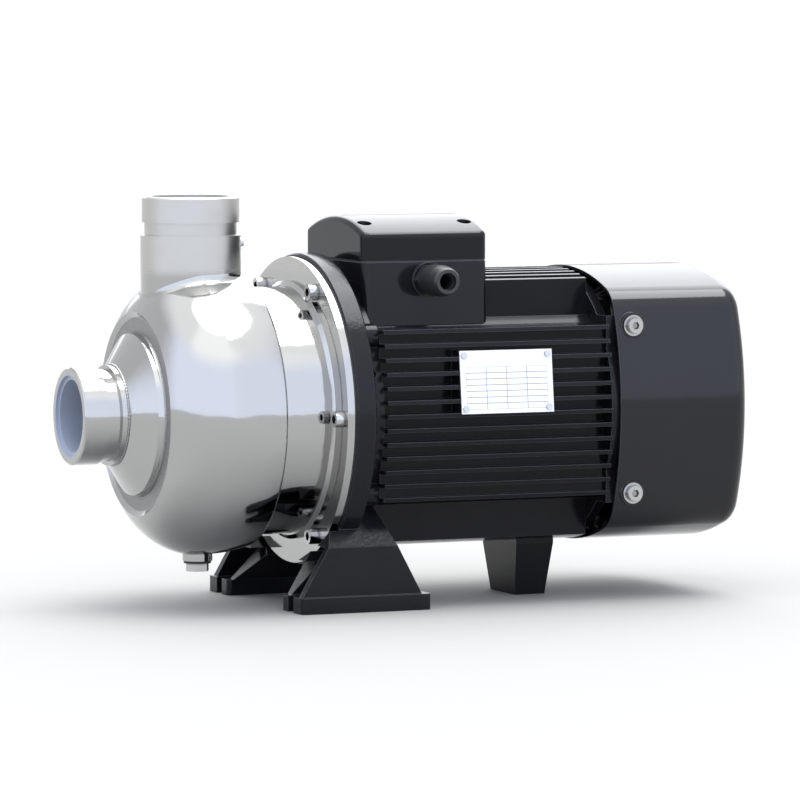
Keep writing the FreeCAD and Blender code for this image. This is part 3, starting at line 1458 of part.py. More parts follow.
def fan_cover():
    """Pressed cover with four dimpled screw seats and a radial grille."""
    outer = cover_form("cover_outer", "fan_cover_x", "fan_cover_length", "fan_cover_crown", "cover_corner",
                       "fan_cover_corner", "fan_cover_round")
    inner = cover_form("cover_inner", "fan_cover_x - edge_break",
                       "fan_cover_length + edge_break - fan_cover_wall", "cover_inner_crown",
                       "cover_inner_corner", "fan_cover_corner - fan_cover_wall",
                       "fan_cover_round - fan_cover_wall")
    hollow = boolean("Cut", "cover_hollow", outer, inner)
    seats = new_body("cover_screw_seats")
    seat = pad(seats, "cover_screw_seat", "XZ_Plane", "cover_lug_outer + fit_gap",
               "cover_pad_face - cover_lug_outer - fit_gap",
               lambda sketch: [circle(sketch, "cover_screw_x", up, "cover_pad_radius")
                               for up in ("cover_screw_z", "-cover_screw_z")])
    mirrored(seats, "far_cover_screw_seats", [seat], "XZ_Plane")
    openings = new_body("cover_openings")
    pad(openings, "cover_screw_holes", "XZ_Plane", "0", "3 * cover_pad_face",
        lambda sketch: [circle(sketch, "cover_screw_x", up, "cover_screw_radius + running_gap")
                        for up in ("cover_screw_z", "-cover_screw_z")], both=True)
    relief = pad(openings, "cover_seat_relief", "XZ_Plane", "cover_pad_face", "cover_pad_radius",
                 lambda sketch: [circle(sketch, "cover_screw_x", up, "cover_pad_radius")
                                 for up in ("cover_screw_z", "-cover_screw_z")])
    mirrored(openings, "far_cover_seat_relief", [relief], "XZ_Plane")
    slot = pad(openings, "grille_slot", "YZ_Plane", "fan_cover_rear_x - 2 * fan_cover_wall",
               "3 * fan_cover_wall",
               lambda sketch: rectangle(sketch, "-grille_slot_width / 2", "grille_slot_width / 2",
                                        "grille_inner", "grille_outer"))
    around(openings, "grille_slots", [slot], "grille_slot_count")
    keep(boolean("Cut", "fan_cover", fuse("cover_with_seats", hollow, seats), openings))


def cover_fasteners():
    screws = new_body("fan_cover_screws")
    seat = "cover_pad_face + cover_washer"
    parts = []
    for name, up in (("upper", "cover_screw_z"), ("lower", "-cover_screw_z")):
        parts.append(pad(screws, name + "_screw_shank", "XZ_Plane", seat, "cover_screw_length",
                         lambda sketch: circle(sketch, "cover_screw_x", up, "cover_screw_radius"),
                         back=True))
        parts.append(pad(screws, name + "_screw_head", "XZ_Plane", seat, "cover_screw_head",
                         lambda sketch: circle(sketch, "cover_screw_x", up, "cover_screw_head_radius")))
        parts.append(pocket(screws, name + "_screw_socket", "XZ_Plane",
                            seat + " + cover_screw_head / 2", "cover_screw_head",
                            lambda sketch: hexagon(sketch, "cover_screw_x", up, "cover_screw_radius")))
    mirrored(screws, "far_cover_screws", parts, "XZ_Plane")
    keep(screws)
    washers = new_body("fan_cover_washers")
    pair = pad(washers, "near_cover_washers", "XZ_Plane", "cover_pad_face", "cover_washer",
               lambda sketch: [circle(sketch, "cover_screw_x", up, radius)
                               for up in ("cover_screw_z", "-cover_screw_z")
                               for radius in ("cover_washer_radius", "cover_screw_radius + fit_gap")])
    mirrored(washers, "far_cover_washers", [pair], "XZ_Plane")
    keep(washers)


def rear_support_foot():
    """Tapered foot under the rear of the frame, hollow from below."""
    body = new_body("rear_support_foot", "0")
    for kind, name, levels, wall in (
            ("AdditiveLoft", "support", ("0", "support_height"), "0"),
            ("SubtractiveLoft", "support_hollow", ("-edge_break", "support_height - support_roof"),
             "support_wall")):
        low = new_sketch(body, name + "_base", "XY_Plane", levels[0])
        centred(low, "support_x", "support_base_length / 2 - " + wall, "support_base_width / 2 - " + wall)
        high = new_sketch(body, name + "_top", "XY_Plane", levels[1])
        centred(high, "support_x", "support_top_length / 2 - " + wall, "support_top_width / 2 - " + wall)
        add(body, kind, name, low, Sections=[high])
    pocket(body, "support_screw_holes", "XY_Plane", "support_height - support_roof - edge_break",
           "support_roof + 2 * edge_break",
           lambda sketch: support_screw_circles(sketch, "support_screw_radius + running_gap"))
    keep(body)
    screws = new_body("support_foot_screws", "0")
    pad(screws, "support_shanks", "XY_Plane", "support_height - support_roof", "support_screw_length",
        lambda sketch: support_screw_circles(sketch, "support_screw_radius"))
    pad(screws, "support_heads", "XY_Plane", "support_height - support_roof", "support_screw_head",
        lambda sketch: support_screw_circles(sketch, "support_screw_head_radius"), back=True)
    keep(screws)


motor_frame()
nameplate()
stator()
rear_end_shield()
tie_bolts()
cooling_fan()
keep(ring("fan_circlip", "fan_rear_x", "fan_rear_x + circlip_width",
          "circlip_groove_radius + fit_gap / 2", "circlip_radius"))
fan_cover()
cover_fasteners()
rear_support_foot()

# Terminal box and its cable gland
def box_corners():
    """Places of the four corner screws: along X, and across."""
    return [(along, across)
            for along in ("box_x + box_screw_inset_x", "box_rear_x - box_screw_inset_x")
            for across in ("box_half_width - box_screw_inset_y", "box_screw_inset_y - box_half_width")]


def corner_bars(label, level, length, radius, back=False):
    body = new_body(label)
    pad(body, label + "_pads", "XY_Plane", level, length,
        lambda sketch: [circle(sketch, along, across, radius) for along, across in box_corners()],
        back=back)
    return body


def box_room(label, low, height):
    """Clear room between the walls of the terminal box."""
    body = new_body(label)
    pad(body, label + "_pad", "XY_Plane", low, height,
        lambda sketch: rectangle(sketch, "box_x + box_wall", "box_rear_x - box_wall",
                                 "box_wall - box_half_width", "box_half_width - box_wall"))
    return body


def along_gland(label):
    """A body whose own X axis runs out of the box along the gland."""
    body = doc.addObject("PartDesign::Body", label)
    body.AllowCompound = True
    body.Placement.Rotation = FreeCAD.Rotation(FreeCAD.Vector(0, 0, 1), -90)
    place(body, x="gland_x", z="shaft_height + gland_height")
    return body


def gland_bar(label, start, length, radius):
    body = along_gland(label)
    pad(body, label + "_pad", "YZ_Plane", start, length, lambda sketch: circle(sketch, "0", "0", radius))
    return body


def terminal_box_base():
    """Box that straddles the round shell, with screw posts and a gland boss."""
    outer = new_body("box_outer")
    foot = "box_half_width + box_draft"
    pad(outer, "box_walls", "YZ_Plane", "box_x", "box_length", lambda sketch: outline(sketch, [
        (foot, "ledge_height"), ("box_half_width", "box_seam_height"),
        ("-box_half_width", "box_seam_height"), (minus(foot), "ledge_height")]))
    fillet(outer, "box_corners", lambda edge: is_steep(edge), "box_corner")
    floor_bar = bar("box_floor_bar", "box_x", "box_length", "block_base_z")
    room = boolean("Cut", "box_inside", box_room("box_room", "ledge_height", "box_seam_height"), floor_bar)
    plinth = block("block_plinth", "box_middle_x - block_length / 2", "-block_width / 2",
                   "shaft_height + shell_radius - box_floor", "block_length", "block_width",
                   "2 * box_floor")
    posts = corner_bars("box_posts", "ledge_height", "box_seam_height - ledge_height", "box_post_radius")
    boss = gland_bar("gland_boss", "box_half_width - box_wall / 2",
                     "gland_seat - box_half_width + box_wall / 2", "gland_boss_radius")
    whole = fuse("box_whole", boolean("Cut", "box_shell", outer, room), plinth, posts, boss)
    wire = new_body("box_wire_hole")
    pad(wire, "box_wire_hole_pad", "XY_Plane", "0", "box_seam_height",
        lambda sketch: circle(sketch, "wire_x", "0", "wire_hole_radius"))
    holes = together(
        "box_cuts",
        bar("box_saddle_cut", "frame_x - edge_break", "box_length + 2 * edge_break", "box_saddle"),
        bar("box_bracket_room", "box_x - edge_break", "box_lead + edge_break + fit_gap",
            "bracket_body_radius + running_gap"),
        wire, corner_bars("box_screw_holes", "box_seam_height", "box_thread_depth",
                          "lid_screw_radius + fit_gap", back=True),
        gland_bar("gland_hole", "box_half_width - 2 * box_wall", "4 * box_wall",
                  "gland_thread_radius + fit_gap"))
    keep(boolean("Cut", "terminal_box_base", whole, holes))


def is_steep(edge):
    """Whether an edge is a straight line that runs mostly upwards."""
    return edge.Curve.TypeId == "Part::GeomLine" and abs(edge.Curve.Direction.z) > 0.9


def terminal_box_gasket():
    body = new_body("terminal_box_gasket")
    pad(body, "gasket_frame", "XY_Plane", "box_seam_height", "box_gasket", lambda sketch: (
        rectangle(sketch, "box_x + edge_break / 2", "box_rear_x - edge_break / 2",
                  "edge_break / 2 - box_half_width", "box_half_width - edge_break / 2"),
        rectangle(sketch, "box_x + box_wall", "box_rear_x - box_wall",
                  "box_wall - box_half_width", "box_half_width - box_wall")))
    room = value("box_half_width - box_wall") + 0.01
    fillet(body, "gasket_corners", lambda edge: is_steep(edge) and abs(edge.Vertexes[0].Y) > room,
           "box_corner - edge_break / 2")
    keep(body)


def arched(sketch, half_width, low, edge_level):
    """Lid's section: upright sides under one shallow arch."""
    outline(sketch, [(minus(half_width), low), (half_width, low), (half_width, edge_level, "lid_arch"),
                     (minus(half_width), edge_level)])


def terminal_box_lid():
    """Arched lid with screw posts inside and counterbores above them."""
    outer = new_body("lid_outer")
    pad(outer, "lid_form", "YZ_Plane", "box_x", "box_length",
        lambda sketch: arched(sketch, "box_half_width", "lid_base_z", "lid_edge_z"))
    fillet(outer, "lid_corners", is_steep, "box_corner")
    rim = value("lid_edge_z - box_corner")
    fillet(outer, "lid_rim", lambda edge: edge.BoundBox.ZMin > rim, "lid_round")
    inner = new_body("lid_inner")
    pad(inner, "lid_room", "YZ_Plane", "box_x + box_wall", "box_length - 2 * box_wall",
        lambda sketch: arched(sketch, "box_half_width - box_wall", "lid_base_z - edge_break",
                              "lid_edge_z - box_wall"))
    whole = fuse("lid_whole", boolean("Cut", "lid_shell", outer, inner),
                 corner_bars("lid_posts", "lid_base_z", "lid_side + box_wall", "box_post_radius"))
    holes = together(
        "lid_cuts", corner_bars("lid_screw_holes", "lid_base_z - edge_break", "2 * lid_side",
                                "lid_screw_radius + running_gap / 2"),
        corner_bars("lid_counterbores", "lid_edge_z", "lid_side", "lid_counterbore_radius"))
    keep(boolean("Cut", "terminal_box_lid", whole, holes))


def lid_screws():
    body = new_body("lid_screws")
    pad(body, "lid_screw_shanks", "XY_Plane", "lid_edge_z", "lid_screw_length",
        lambda sketch: [circle(sketch, along, across, "lid_screw_radius")
                        for along, across in box_corners()], back=True)
    pad(body, "lid_screw_heads", "XY_Plane", "lid_edge_z", "lid_screw_head",
        lambda sketch: [circle(sketch, along, across, "lid_screw_head_radius")
                        for along, across in box_corners()])
    keep(body)


def stud_places():
    return [(column, row) for column in ("box_middle_x - stud_spacing_x", "box_middle_x",
                                         "box_middle_x + stud_spacing_x")
            for row in ("-stud_spacing_y / 2", "stud_spacing_y / 2")]


def terminals():
    """Terminal block with six studs, joined in pairs by three links."""
    block_body = new_body("terminal_block")
    pad(block_body, "terminal_slab", "XY_Plane", "block_base_z", "block_height",
        lambda sketch: centred(sketch, "box_middle_x", "block_length / 2", "block_width / 2"))
    for number, column in enumerate(("box_middle_x - stud_spacing_x / 2",
                                     "box_middle_x + stud_spacing_x / 2"), 1):
        pad(block_body, "barrier_%d" % number, "XY_Plane", "block_base_z", "block_height + stud_nut",
            lambda sketch: centred(sketch, column, "edge_break", "block_width / 2"))
    pocket(block_body, "stud_sockets", "XY_Plane", "block_top_z", "stud_socket_depth",
           lambda sketch: [circle(sketch, column, row, "stud_radius + fit_gap")
                           for column, row in stud_places()], back=True)
    keep(block_body)
    studs = new_body("terminal_studs")
    pad(studs, "stud_bars", "XY_Plane", "block_top_z - stud_socket_depth", "stud_height",
        lambda sketch: [circle(sketch, column, row, "stud_radius") for column, row in stud_places()])
    keep(studs)
    links = new_body("terminal_links")
    for number, column in enumerate(("box_middle_x - stud_spacing_x", "box_middle_x",
                                     "box_middle_x + stud_spacing_x"), 1):
        pad(links, "link_%d" % number, "XY_Plane", "block_top_z", "link_thickness",
            lambda sketch: centred(sketch, column, "link_width / 2",
                                   "stud_spacing_y / 2 + link_width / 2"))
    pocket(links, "link_holes", "XY_Plane", "block_top_z", "link_thickness",
           lambda sketch: [circle(sketch, column, row, "stud_radius + fit_gap")
                           for column, row in stud_places()])
    keep(links)
    nuts = new_body("terminal_nuts")
    pad(nuts, "stud_nuts", "XY_Plane", "block_top_z + link_thickness", "stud_nut",
        lambda sketch: [hexagon(sketch, column, row, "stud_nut_radius") for column, row in stud_places()])
    pocket(nuts, "nut_holes", "XY_Plane", "block_top_z + link_thickness", "stud_nut",
           lambda sketch: [circle(sketch, column, row, "stud_radius + fit_gap")
                           for column, row in stud_places()])
    keep(nuts)


def cable_gland():
    """Gland body screwed into the box, cap nut and rubber bush."""
    body = along_gland("cable_gland_body")
    pad(body, "gland_hexagon", "YZ_Plane", "gland_seat", "gland_hex", lambda sketch: (
        hexagon(sketch, "0", "0", "gland_hex_radius"),
        circle(sketch, "0", "0", "gland_bore_radius + edge_break")))
    turned(body, "gland_stem", [
        ("gland_seat - gland_stem_length", "gland_bore_radius"),
        ("gland_seat - gland_stem_length", "gland_thread_radius"),
        ("gland_nut_x", "gland_thread_radius"), ("gland_nut_x", "gland_neck_radius"),
        ("gland_nut_x + gland_stem_length", "gland_neck_radius"),
        ("gland_nut_x + gland_stem_length", "gland_bore_radius")])
    keep(body)
    nut = along_gland("cable_gland_nut")
    front = "gland_nut_x + gland_nut_length"
    turned(nut, "gland_cap", [
        ("gland_nut_x", "gland_neck_radius + fit_gap"), ("gland_nut_x", "gland_nut_radius"),
        ("gland_nut_x + gland_nut_straight", "gland_nut_radius"),
        (front + " - gland_nut_lip / 2", "gland_front_radius + edge_break"),
        (front, "gland_front_radius"), (front, "gland_bore_radius + edge_break / 2"),
        (front + " - gland_nut_lip", "gland_bore_radius + edge_break / 2"),
        (front + " - gland_nut_lip", "gland_neck_radius + fit_gap")])
    keep(nut)
    seal = along_gland("cable_gland_seal")
    turned(seal, "gland_bush", [
        ("gland_nut_x + gland_stem_length", "gland_bore_radius"),
        ("gland_nut_x + gland_stem_length", "gland_neck_radius"),
        (front + " - gland_nut_lip", "gland_neck_radius"),
        (front + " - gland_nut_lip", "gland_bore_radius")])
    keep(seal)


terminal_box_base()
terminal_box_gasket()
terminal_box_lid()
lid_screws()
terminals()
cable_gland()


# Every object has to be sound before its shape is written
doc.recompute()
failed = [item.Label for item in doc.Objects if "Invalid" in item.State or "Error" in item.State]
failed += [item.Label for item in nodes if item.Shape.isNull() or not item.Shape.isValid()]
if failed:
    raise RuntimeError("not sound: " + ", ".join(failed))
for item in nodes:
    item.Shape.exportStep("parts/" + item.Label + ".step")
print(len(nodes), "pieces written")
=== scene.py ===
"""Looks of the horizontal centrifugal pump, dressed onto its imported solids.

Lengths are in metres, in the frame of the solids: the shaft runs along X at
SHAFT_HEIGHT, Z is up, and the feet stand on Z = 0. Colours are in linear light.
"""

import json
import math

import bmesh
import bpy
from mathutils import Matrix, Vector


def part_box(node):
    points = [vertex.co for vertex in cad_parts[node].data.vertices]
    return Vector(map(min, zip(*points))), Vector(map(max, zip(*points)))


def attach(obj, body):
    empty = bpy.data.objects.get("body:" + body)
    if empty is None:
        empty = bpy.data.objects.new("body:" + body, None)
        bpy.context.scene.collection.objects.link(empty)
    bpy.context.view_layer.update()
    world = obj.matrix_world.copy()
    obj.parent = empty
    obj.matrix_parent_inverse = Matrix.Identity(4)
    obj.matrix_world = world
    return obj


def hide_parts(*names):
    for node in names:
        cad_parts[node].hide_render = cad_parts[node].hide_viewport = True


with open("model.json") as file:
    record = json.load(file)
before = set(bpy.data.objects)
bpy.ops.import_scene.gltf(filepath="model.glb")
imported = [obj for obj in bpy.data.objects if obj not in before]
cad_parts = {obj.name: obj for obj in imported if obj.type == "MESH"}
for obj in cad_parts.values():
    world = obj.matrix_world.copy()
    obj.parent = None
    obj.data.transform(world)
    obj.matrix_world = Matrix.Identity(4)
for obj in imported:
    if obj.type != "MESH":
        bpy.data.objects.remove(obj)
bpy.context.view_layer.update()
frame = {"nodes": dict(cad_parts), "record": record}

SHAFT_HEIGHT = 0.120

# The photograph's view
VIEW_TARGET = Vector((0.0853, 0.0, 0.1239))
VIEW_AZIMUTH = math.radians(-22.77)
VIEW_ELEVATION = math.radians(4.1)
VIEW_DISTANCE = 3.788
VIEW_LENS = 271.5
VIEW_SENSOR = 36.0
VIEW_REACH = 200.0

# Steel: where the casing's finish changes, and how wide a change is
NECK_SATIN_LOW = 0.203
NECK_SATIN_HIGH = 0.212
LAND_X = -0.0900
LAND_FRONT = LAND_X - 0.0015
LAND_REAR = LAND_X + 0.0010
LAND_INNER = 0.0507
LAND_OUTER = 0.0598
SUCTION_BORE = 0.0252
FINISH_EDGE = 0.0004

WHITE_STEEL = (0.42, 0.42, 0.415)
SATIN_STEEL = (0.50, 0.495, 0.475)
BORE_STEEL = (0.32, 0.36, 0.45)
BLAST_DARK = (0.20, 0.20, 0.20)
BLAST_PALE = (0.42, 0.42, 0.41)

# Polishing lines: their depth, and how far the noise moves on for each radian
LINE_DEPTH = 0.000004
LINE_CURL = 0.0006

# Black paint, lighter and duller over edges of a small radius: partly thin worn paint, partly a
# painted edge highlight
BLACK_GLOSS = (0.0052, 0.0052, 0.0068)
EDGE_HIGHLIGHT_AND_WEAR = (0.085, 0.085, 0.095)
EDGE_ROUND = 0.0006
EDGE_SAMPLES = 6
EDGE_TURN = (0.82, 0.97)
EDGE_ROUGHNESS = 0.40

# Range in which most of a noise texture's values lie
NOISE_LOW = 0.3
NOISE_HIGH = 0.7

# Painted shade in the crevices of the screws: darker as the open share goes from the second to the
# first
CREVICE_REACH = 0.003
CREVICE_SAMPLES = 8
CREVICE_OPEN = (0.35, 0.85)
CREVICE_SHADE = 0.12

# Cross recess in each of the lid's screws, narrower at its bottom
CROSS_REACH = 0.0019
CROSS_HALF_WIDTH = 0.00045
CROSS_DEPTH = 0.0013
CROSS_TAPER = (0.7, 1.3)
MERGE_GAP = 1e-6

# Laminations of the rotor and stator cores, one dark line for each
SHEET_PITCH = 0.001

# Weld bead between the suction spigot and the casing, its width in heights
SEAM_X = -0.1070
SEAM_RADIUS = 0.0311
BEAD_HEIGHT = 0.0007
BEAD_WIDTH = 1.3
BEAD_RIPPLES = 90
BEAD_RIPPLE_SHARE = 0.12
BEAD_AROUND = 360
BEAD_ACROSS = 8

# Nameplate: its ruled table in shares of the plate's width and height, and the
# distances from a line where full ink ends and bare plate starts
TABLE_LEFT, TABLE_RIGHT = 0.06, 0.94
TABLE_LOW, TABLE_HIGH = 0.07, 0.74
TABLE_ROW = 0.0958
TABLE_COLUMN = 0.22
TABLE_EDGE = 0.001
ROW_LINE = (0.02, 0.06)
COLUMN_LINE = (0.006, 0.014)
PLATE_SILVER = ((0.68, 0.69, 0.71), (0.80, 0.81, 0.83))
PLATE_INK = (0.08, 0.08, 0.09)
PLATE_BRUSH = (30.0, 900.0, 900.0)

FLOOR_HALF = 80.0
FLOOR_COLOUR = (0.336, 0.331, 0.322)

# Light of the studio, from all round and from its softbox, strip and cap
SKY_LEFT = (1.58, 1.70, 2.00)
SKY_RIGHT = (1.50, 1.60, 1.86)
SKY_BEHIND = (0.90, 0.91, 0.93)
SKY_ABOVE = (2.10, 2.12, 2.15)
SKY_OVERHEAD = (1.70, 1.72, 1.75)
SOFTBOX_LOW = (2.3, 2.35, 2.45)
SOFTBOX_HIGH = (5.6, 5.7, 5.9)
STRIP = (10.0, 10.2, 10.5)
CAP = (7.5, 7.6, 7.7)

# Level directions of the rear, of the camera and of the softbox
REAR_SIDE = (0.350, 0.937, 0.0)
CAMERA_SIDE = (-0.387, -0.922, 0.0)
SOFTBOX_SIDE = (0.470, 0.883, 0.0)

# Ends of the smooth steps from one light to the next: along a level direction,
# along X, or up. A step whose first end is the higher one falls.
REAR_FROM = (-0.3, 0.3)
RIGHT_FROM = (0.05, 0.45)
ABOVE_FROM = (0.45, 0.75)
HIGH_FROM = (0.55, 0.80)
SOFTBOX_FROM = (0.84, 0.90)
SOFTBOX_FOOT = (0.11, 0.16)
SOFTBOX_TOP = (0.96, 0.93)
SOFTBOX_RISE = (0.14, 0.85)
STRIP_FROM = (0.27, 0.34)
STRIP_FOOT = (0.850, 0.870)
CAP_FOOT = (0.92, 0.97)


def shade(colour, factor):
    """A colour, darker or lighter by a factor."""
    return tuple(factor * part for part in colour)


class Graph:
    """A node tree, with a short call for each kind of node it uses."""

    def __init__(self, tree):
        self.tree = tree

    def feed(self, socket, value):
        """Link a socket to another, or set it to a number, a vector or a colour."""
        if isinstance(value, bpy.types.NodeSocket):
            self.tree.links.new(value, socket)
        elif socket.type == "RGBA":
            socket.default_value = (*value, 1.0)
        else:
            socket.default_value = value

    def node(self, kind, inputs=(), **settings):
        made = self.tree.nodes.new(kind)
        for name, setting in settings.items():
            setattr(made, name, setting)
        for key, value in dict(inputs).items():
            self.feed(made.inputs[key], value)
        return made

    def calc(self, operation, *values):
        return self.node("ShaderNodeMath", enumerate(values), operation=operation).outputs[0]

    def times(self, first, second):
        return self.calc("MULTIPLY", first, second)

    def split(self, vector):
        return self.node("ShaderNodeSeparateXYZ", {0: vector}).outputs

    def join(self, *values):
        return self.node("ShaderNodeCombineXYZ", enumerate(values)).outputs[0]

    def scaled(self, vector, factors):
        made = self.node("ShaderNodeVectorMath", {0: vector, 1: factors}, operation="MULTIPLY")
        return made.outputs[0]

    def dot(self, first, second):
        made = self.node("ShaderNodeVectorMath", {0: first, 1: second}, operation="DOT_PRODUCT")
        return made.outputs["Value"]

    def noise(self, vector, scale, detail):
        made = self.node("ShaderNodeTexNoise", {"Vector": vector, "Scale": scale, "Detail": detail})
        return made.outputs[0]

    def span(self, value, low, high, out_low=0.0, out_high=1.0, smooth=False):
        """Carry a value from one range to another, held at both ends."""
        kind = "SMOOTHSTEP" if smooth else "LINEAR"
        made = self.node("ShaderNodeMapRange", {0: value, 1: low, 2: high, 3: out_low, 4: out_high},
                         interpolation_type=kind, clamp=True)
        return made.outputs[0]

    def spread(self, noise, out_low, out_high):
        """Carry a noise texture's values to a range."""
        return self.span(noise, NOISE_LOW, NOISE_HIGH, out_low, out_high)

    def blend(self, share, first, second):
        """Mix two colours."""
        made = self.node("ShaderNodeMix", {0: share, 6: first, 7: second}, data_type="RGBA")
        return made.outputs[2]

    def mean(self, share, first, second):
        """Mix two numbers."""
        return self.node("ShaderNodeMix", {0: share, 2: first, 3: second}).outputs[0]

    def between(self, value, low, high, edge):
        """1 where a value lies between two limits, with soft edges."""
        rise = self.span(value, low - edge, low + edge)
        fall = self.span(value, high - edge, high + edge, 1.0, 0.0)
        return self.times(rise, fall)


class Finish(Graph):
    """A material and the nodes that feed its shader."""

    def __init__(self, name):
        self.material = bpy.data.materials.new(name)
        self.material.use_nodes = True
        super().__init__(self.material.node_tree)
        self.shader = self.tree.nodes["Principled BSDF"]

    def set(self, **values):
        """Feed the shader's inputs, each named in lower case with underscores."""
        sockets = {socket.name.lower().replace(" ", "_"): socket for socket in self.shader.inputs}
        for name, value in values.items():
            self.feed(sockets[name], value)
        return self.material

    def place(self):
        return self.node("ShaderNodeTexCoord").outputs["Object"]

    def about_shaft(self):
        """Place along the shaft, distance from it, and angle round it."""
        x, y, z = self.split(self.place())
        up = self.calc("SUBTRACT", z, SHAFT_HEIGHT)
        square = self.calc("ADD", self.times(y, y), self.times(up, up))
        return x, self.calc("SQRT", square), self.calc("ARCTAN2", up, y)

    def lathe_lines(self, spot, scale):
        """Noise drawn out into fine lines round the shaft's axis."""
        x, radius, angle = spot
        return self.noise(self.join(x, radius, self.times(angle, LINE_CURL)), scale, detail=2.0)

    def bump(self, height, depth, under=None):
        inputs = {"Height": height, "Strength": 1.0, "Distance": depth}
        if under is not None:
            inputs["Normal"] = under
        return self.node("ShaderNodeBump", inputs).outputs[0]

    def crevice(self, reach):
        """1 in the open, down to 0 deep in a recess or a corner: the mask of a painted shade."""
        made = self.node("ShaderNodeAmbientOcclusion", {"Distance": reach}, samples=CREVICE_SAMPLES)
        return self.span(made.outputs["AO"], *CREVICE_OPEN)


def turned_steel(name, colour, roughness, line_depth=LINE_DEPTH):
    """Steel with fine lines round the shaft's axis, as polished or turned."""
    finish = Finish(name)
    lines = finish.lathe_lines(finish.about_shaft(), scale=2600.0)
    cloud = finish.noise(finish.place(), scale=22.0, detail=4.0)
    rough = finish.calc("ADD", finish.spread(lines, roughness * 0.8, roughness * 1.2),
                        finish.span(cloud, 0.35, 0.65, -0.02, 0.03))
    return finish.set(base_color=finish.blend(cloud, shade(colour, 0.93), shade(colour, 1.05)),
                      metallic=1.0, roughness=rough,
                      normal=finish.bump(lines, line_depth, finish.bump(cloud, depth=0.0004)))


def casing_steel():
    """Pressed casing: a polished bowl, a satin neck and a blasted ring round the eye."""
    finish = Finish("casing_steel")
    spot = finish.about_shaft()
    x, radius, _ = spot
    height = finish.split(finish.place())[2]
    neck = finish.span(height, NECK_SATIN_LOW, NECK_SATIN_HIGH, smooth=True)
    land = finish.times(finish.between(radius, LAND_INNER, LAND_OUTER, FINISH_EDGE),
                        finish.between(x, LAND_FRONT, LAND_REAR, FINISH_EDGE))
    lines = finish.lathe_lines(spot, scale=2400.0)
    cloud = finish.noise(finish.place(), scale=18.0, detail=3.0)
    grit = finish.noise(finish.place(), scale=1500.0, detail=2.0)
    blasted = finish.blend(finish.span(grit, 0.4, 0.6), BLAST_DARK, BLAST_PALE)
    tone = finish.blend(land, finish.blend(neck, WHITE_STEEL, SATIN_STEEL), blasted)
    rough = finish.mean(neck, finish.spread(lines, 0.06, 0.10), finish.spread(cloud, 0.28, 0.36))
    waves = finish.bump(cloud, depth=0.0008)
    fine = finish.bump(lines, depth=0.000003, under=waves)
    return finish.set(base_color=tone, metallic=1.0, roughness=finish.mean(land, rough, 0.55),
                      normal=finish.bump(finish.times(grit, land), depth=0.0003, under=fine))


def nozzle_steel():
    """Suction spigot: polished outside, pale and satin in the bore."""
    finish = Finish("nozzle_steel")
    spot = finish.about_shaft()
    bore = finish.span(spot[1], SUCTION_BORE, SUCTION_BORE + FINISH_EDGE, 1.0, 0.0)
    lines = finish.lathe_lines(spot, scale=2600.0)
    cloud = finish.noise(finish.place(), scale=40.0, detail=3.0)
    tone = finish.blend(cloud, shade(WHITE_STEEL, 0.94), shade(WHITE_STEEL, 1.05))
    return finish.set(base_color=finish.blend(bore, tone, BORE_STEEL),
                      metallic=finish.span(bore, 0.0, 1.0, 1.0, 0.2),
                      roughness=finish.mean(bore, finish.spread(lines, 0.08, 0.13), 0.45),
                      normal=finish.bump(lines, LINE_DEPTH))


def gloss_paint(name, roughness, gloss, peel=0.00003, peel_scale=700.0):
    """Stoved black gloss paint with a fine orange peel, lighter and dull on the edges: a painted
    edge highlight, partly thin worn paint.
    """
    finish = Finish(name)
    skin = finish.noise(finish.place(), peel_scale, detail=2.0)
    cloud = finish.noise(finish.place(), scale=30.0, detail=4.0)
    tone = finish.blend(cloud, BLACK_GLOSS, shade(BLACK_GLOSS, 1.6))
    bevel = finish.node("ShaderNodeBevel", {"Radius": EDGE_ROUND}, samples=EDGE_SAMPLES)
    rounded = bevel.outputs[0]
    flat = finish.node("ShaderNodeNewGeometry").outputs["True Normal"]
    edge = finish.span(finish.dot(rounded, flat), *EDGE_TURN, 1.0, 0.0)
    rough = finish.spread(cloud, roughness * 0.85, roughness * 1.2)
    # Painted highlight on the rounded edges, partly thin worn paint: a lighter colour and a higher
    # roughness there.
    return finish.set(base_color=finish.blend(edge, tone, EDGE_HIGHLIGHT_AND_WEAR),
                      roughness=finish.mean(edge, rough, EDGE_ROUGHNESS),
                      specular_ior_level=gloss, normal=finish.bump(skin, peel, rounded))


def moulded(name, colour, roughness, grain=0.00004, gloss=0.5):
    """Moulded plastic or rubber with a fine spark-eroded grain."""
    finish = Finish(name)
    skin = finish.noise(finish.place(), scale=1400.0, detail=3.0)
    cloud = finish.noise(finish.place(), scale=40.0, detail=3.0)
    return finish.set(base_color=finish.blend(cloud, colour, shade(colour, 1.5)),
                      roughness=finish.spread(skin, roughness * 0.9, roughness * 1.1),
                      specular_ior_level=gloss, normal=finish.bump(skin, grain))


def plain_metal(name, colour, roughness, grain=0.00002, crevice=None):
    """Plain metal, with painted shade darkening its crevices within a reach if one is given."""
    finish = Finish(name)
    skin = finish.noise(finish.place(), scale=900.0, detail=3.0)
    tone = finish.blend(skin, shade(colour, 0.9), shade(colour, 1.08))
    if crevice is not None:
        # Painted shade: the base colour darkens in crevices and recesses, where shade falls.
        tone = finish.blend(finish.crevice(crevice), shade(colour, CREVICE_SHADE), tone)
    return finish.set(base_color=tone, metallic=1.0,
                      roughness=finish.spread(skin, roughness * 0.8, roughness * 1.25),
                      normal=finish.bump(skin, grain))


def core_steel():
    """Stamped laminations, stacked along the shaft."""
    colour = (0.30, 0.30, 0.32)
    finish = Finish("core_steel")
    x = finish.split(finish.place())[0]
    layers = finish.calc("PINGPONG", finish.times(x, 2 / SHEET_PITCH), 1.0)
    return finish.set(base_color=finish.blend(layers, shade(colour, 0.6), colour), metallic=1.0,
                      roughness=0.45, normal=finish.bump(layers, depth=0.00005))


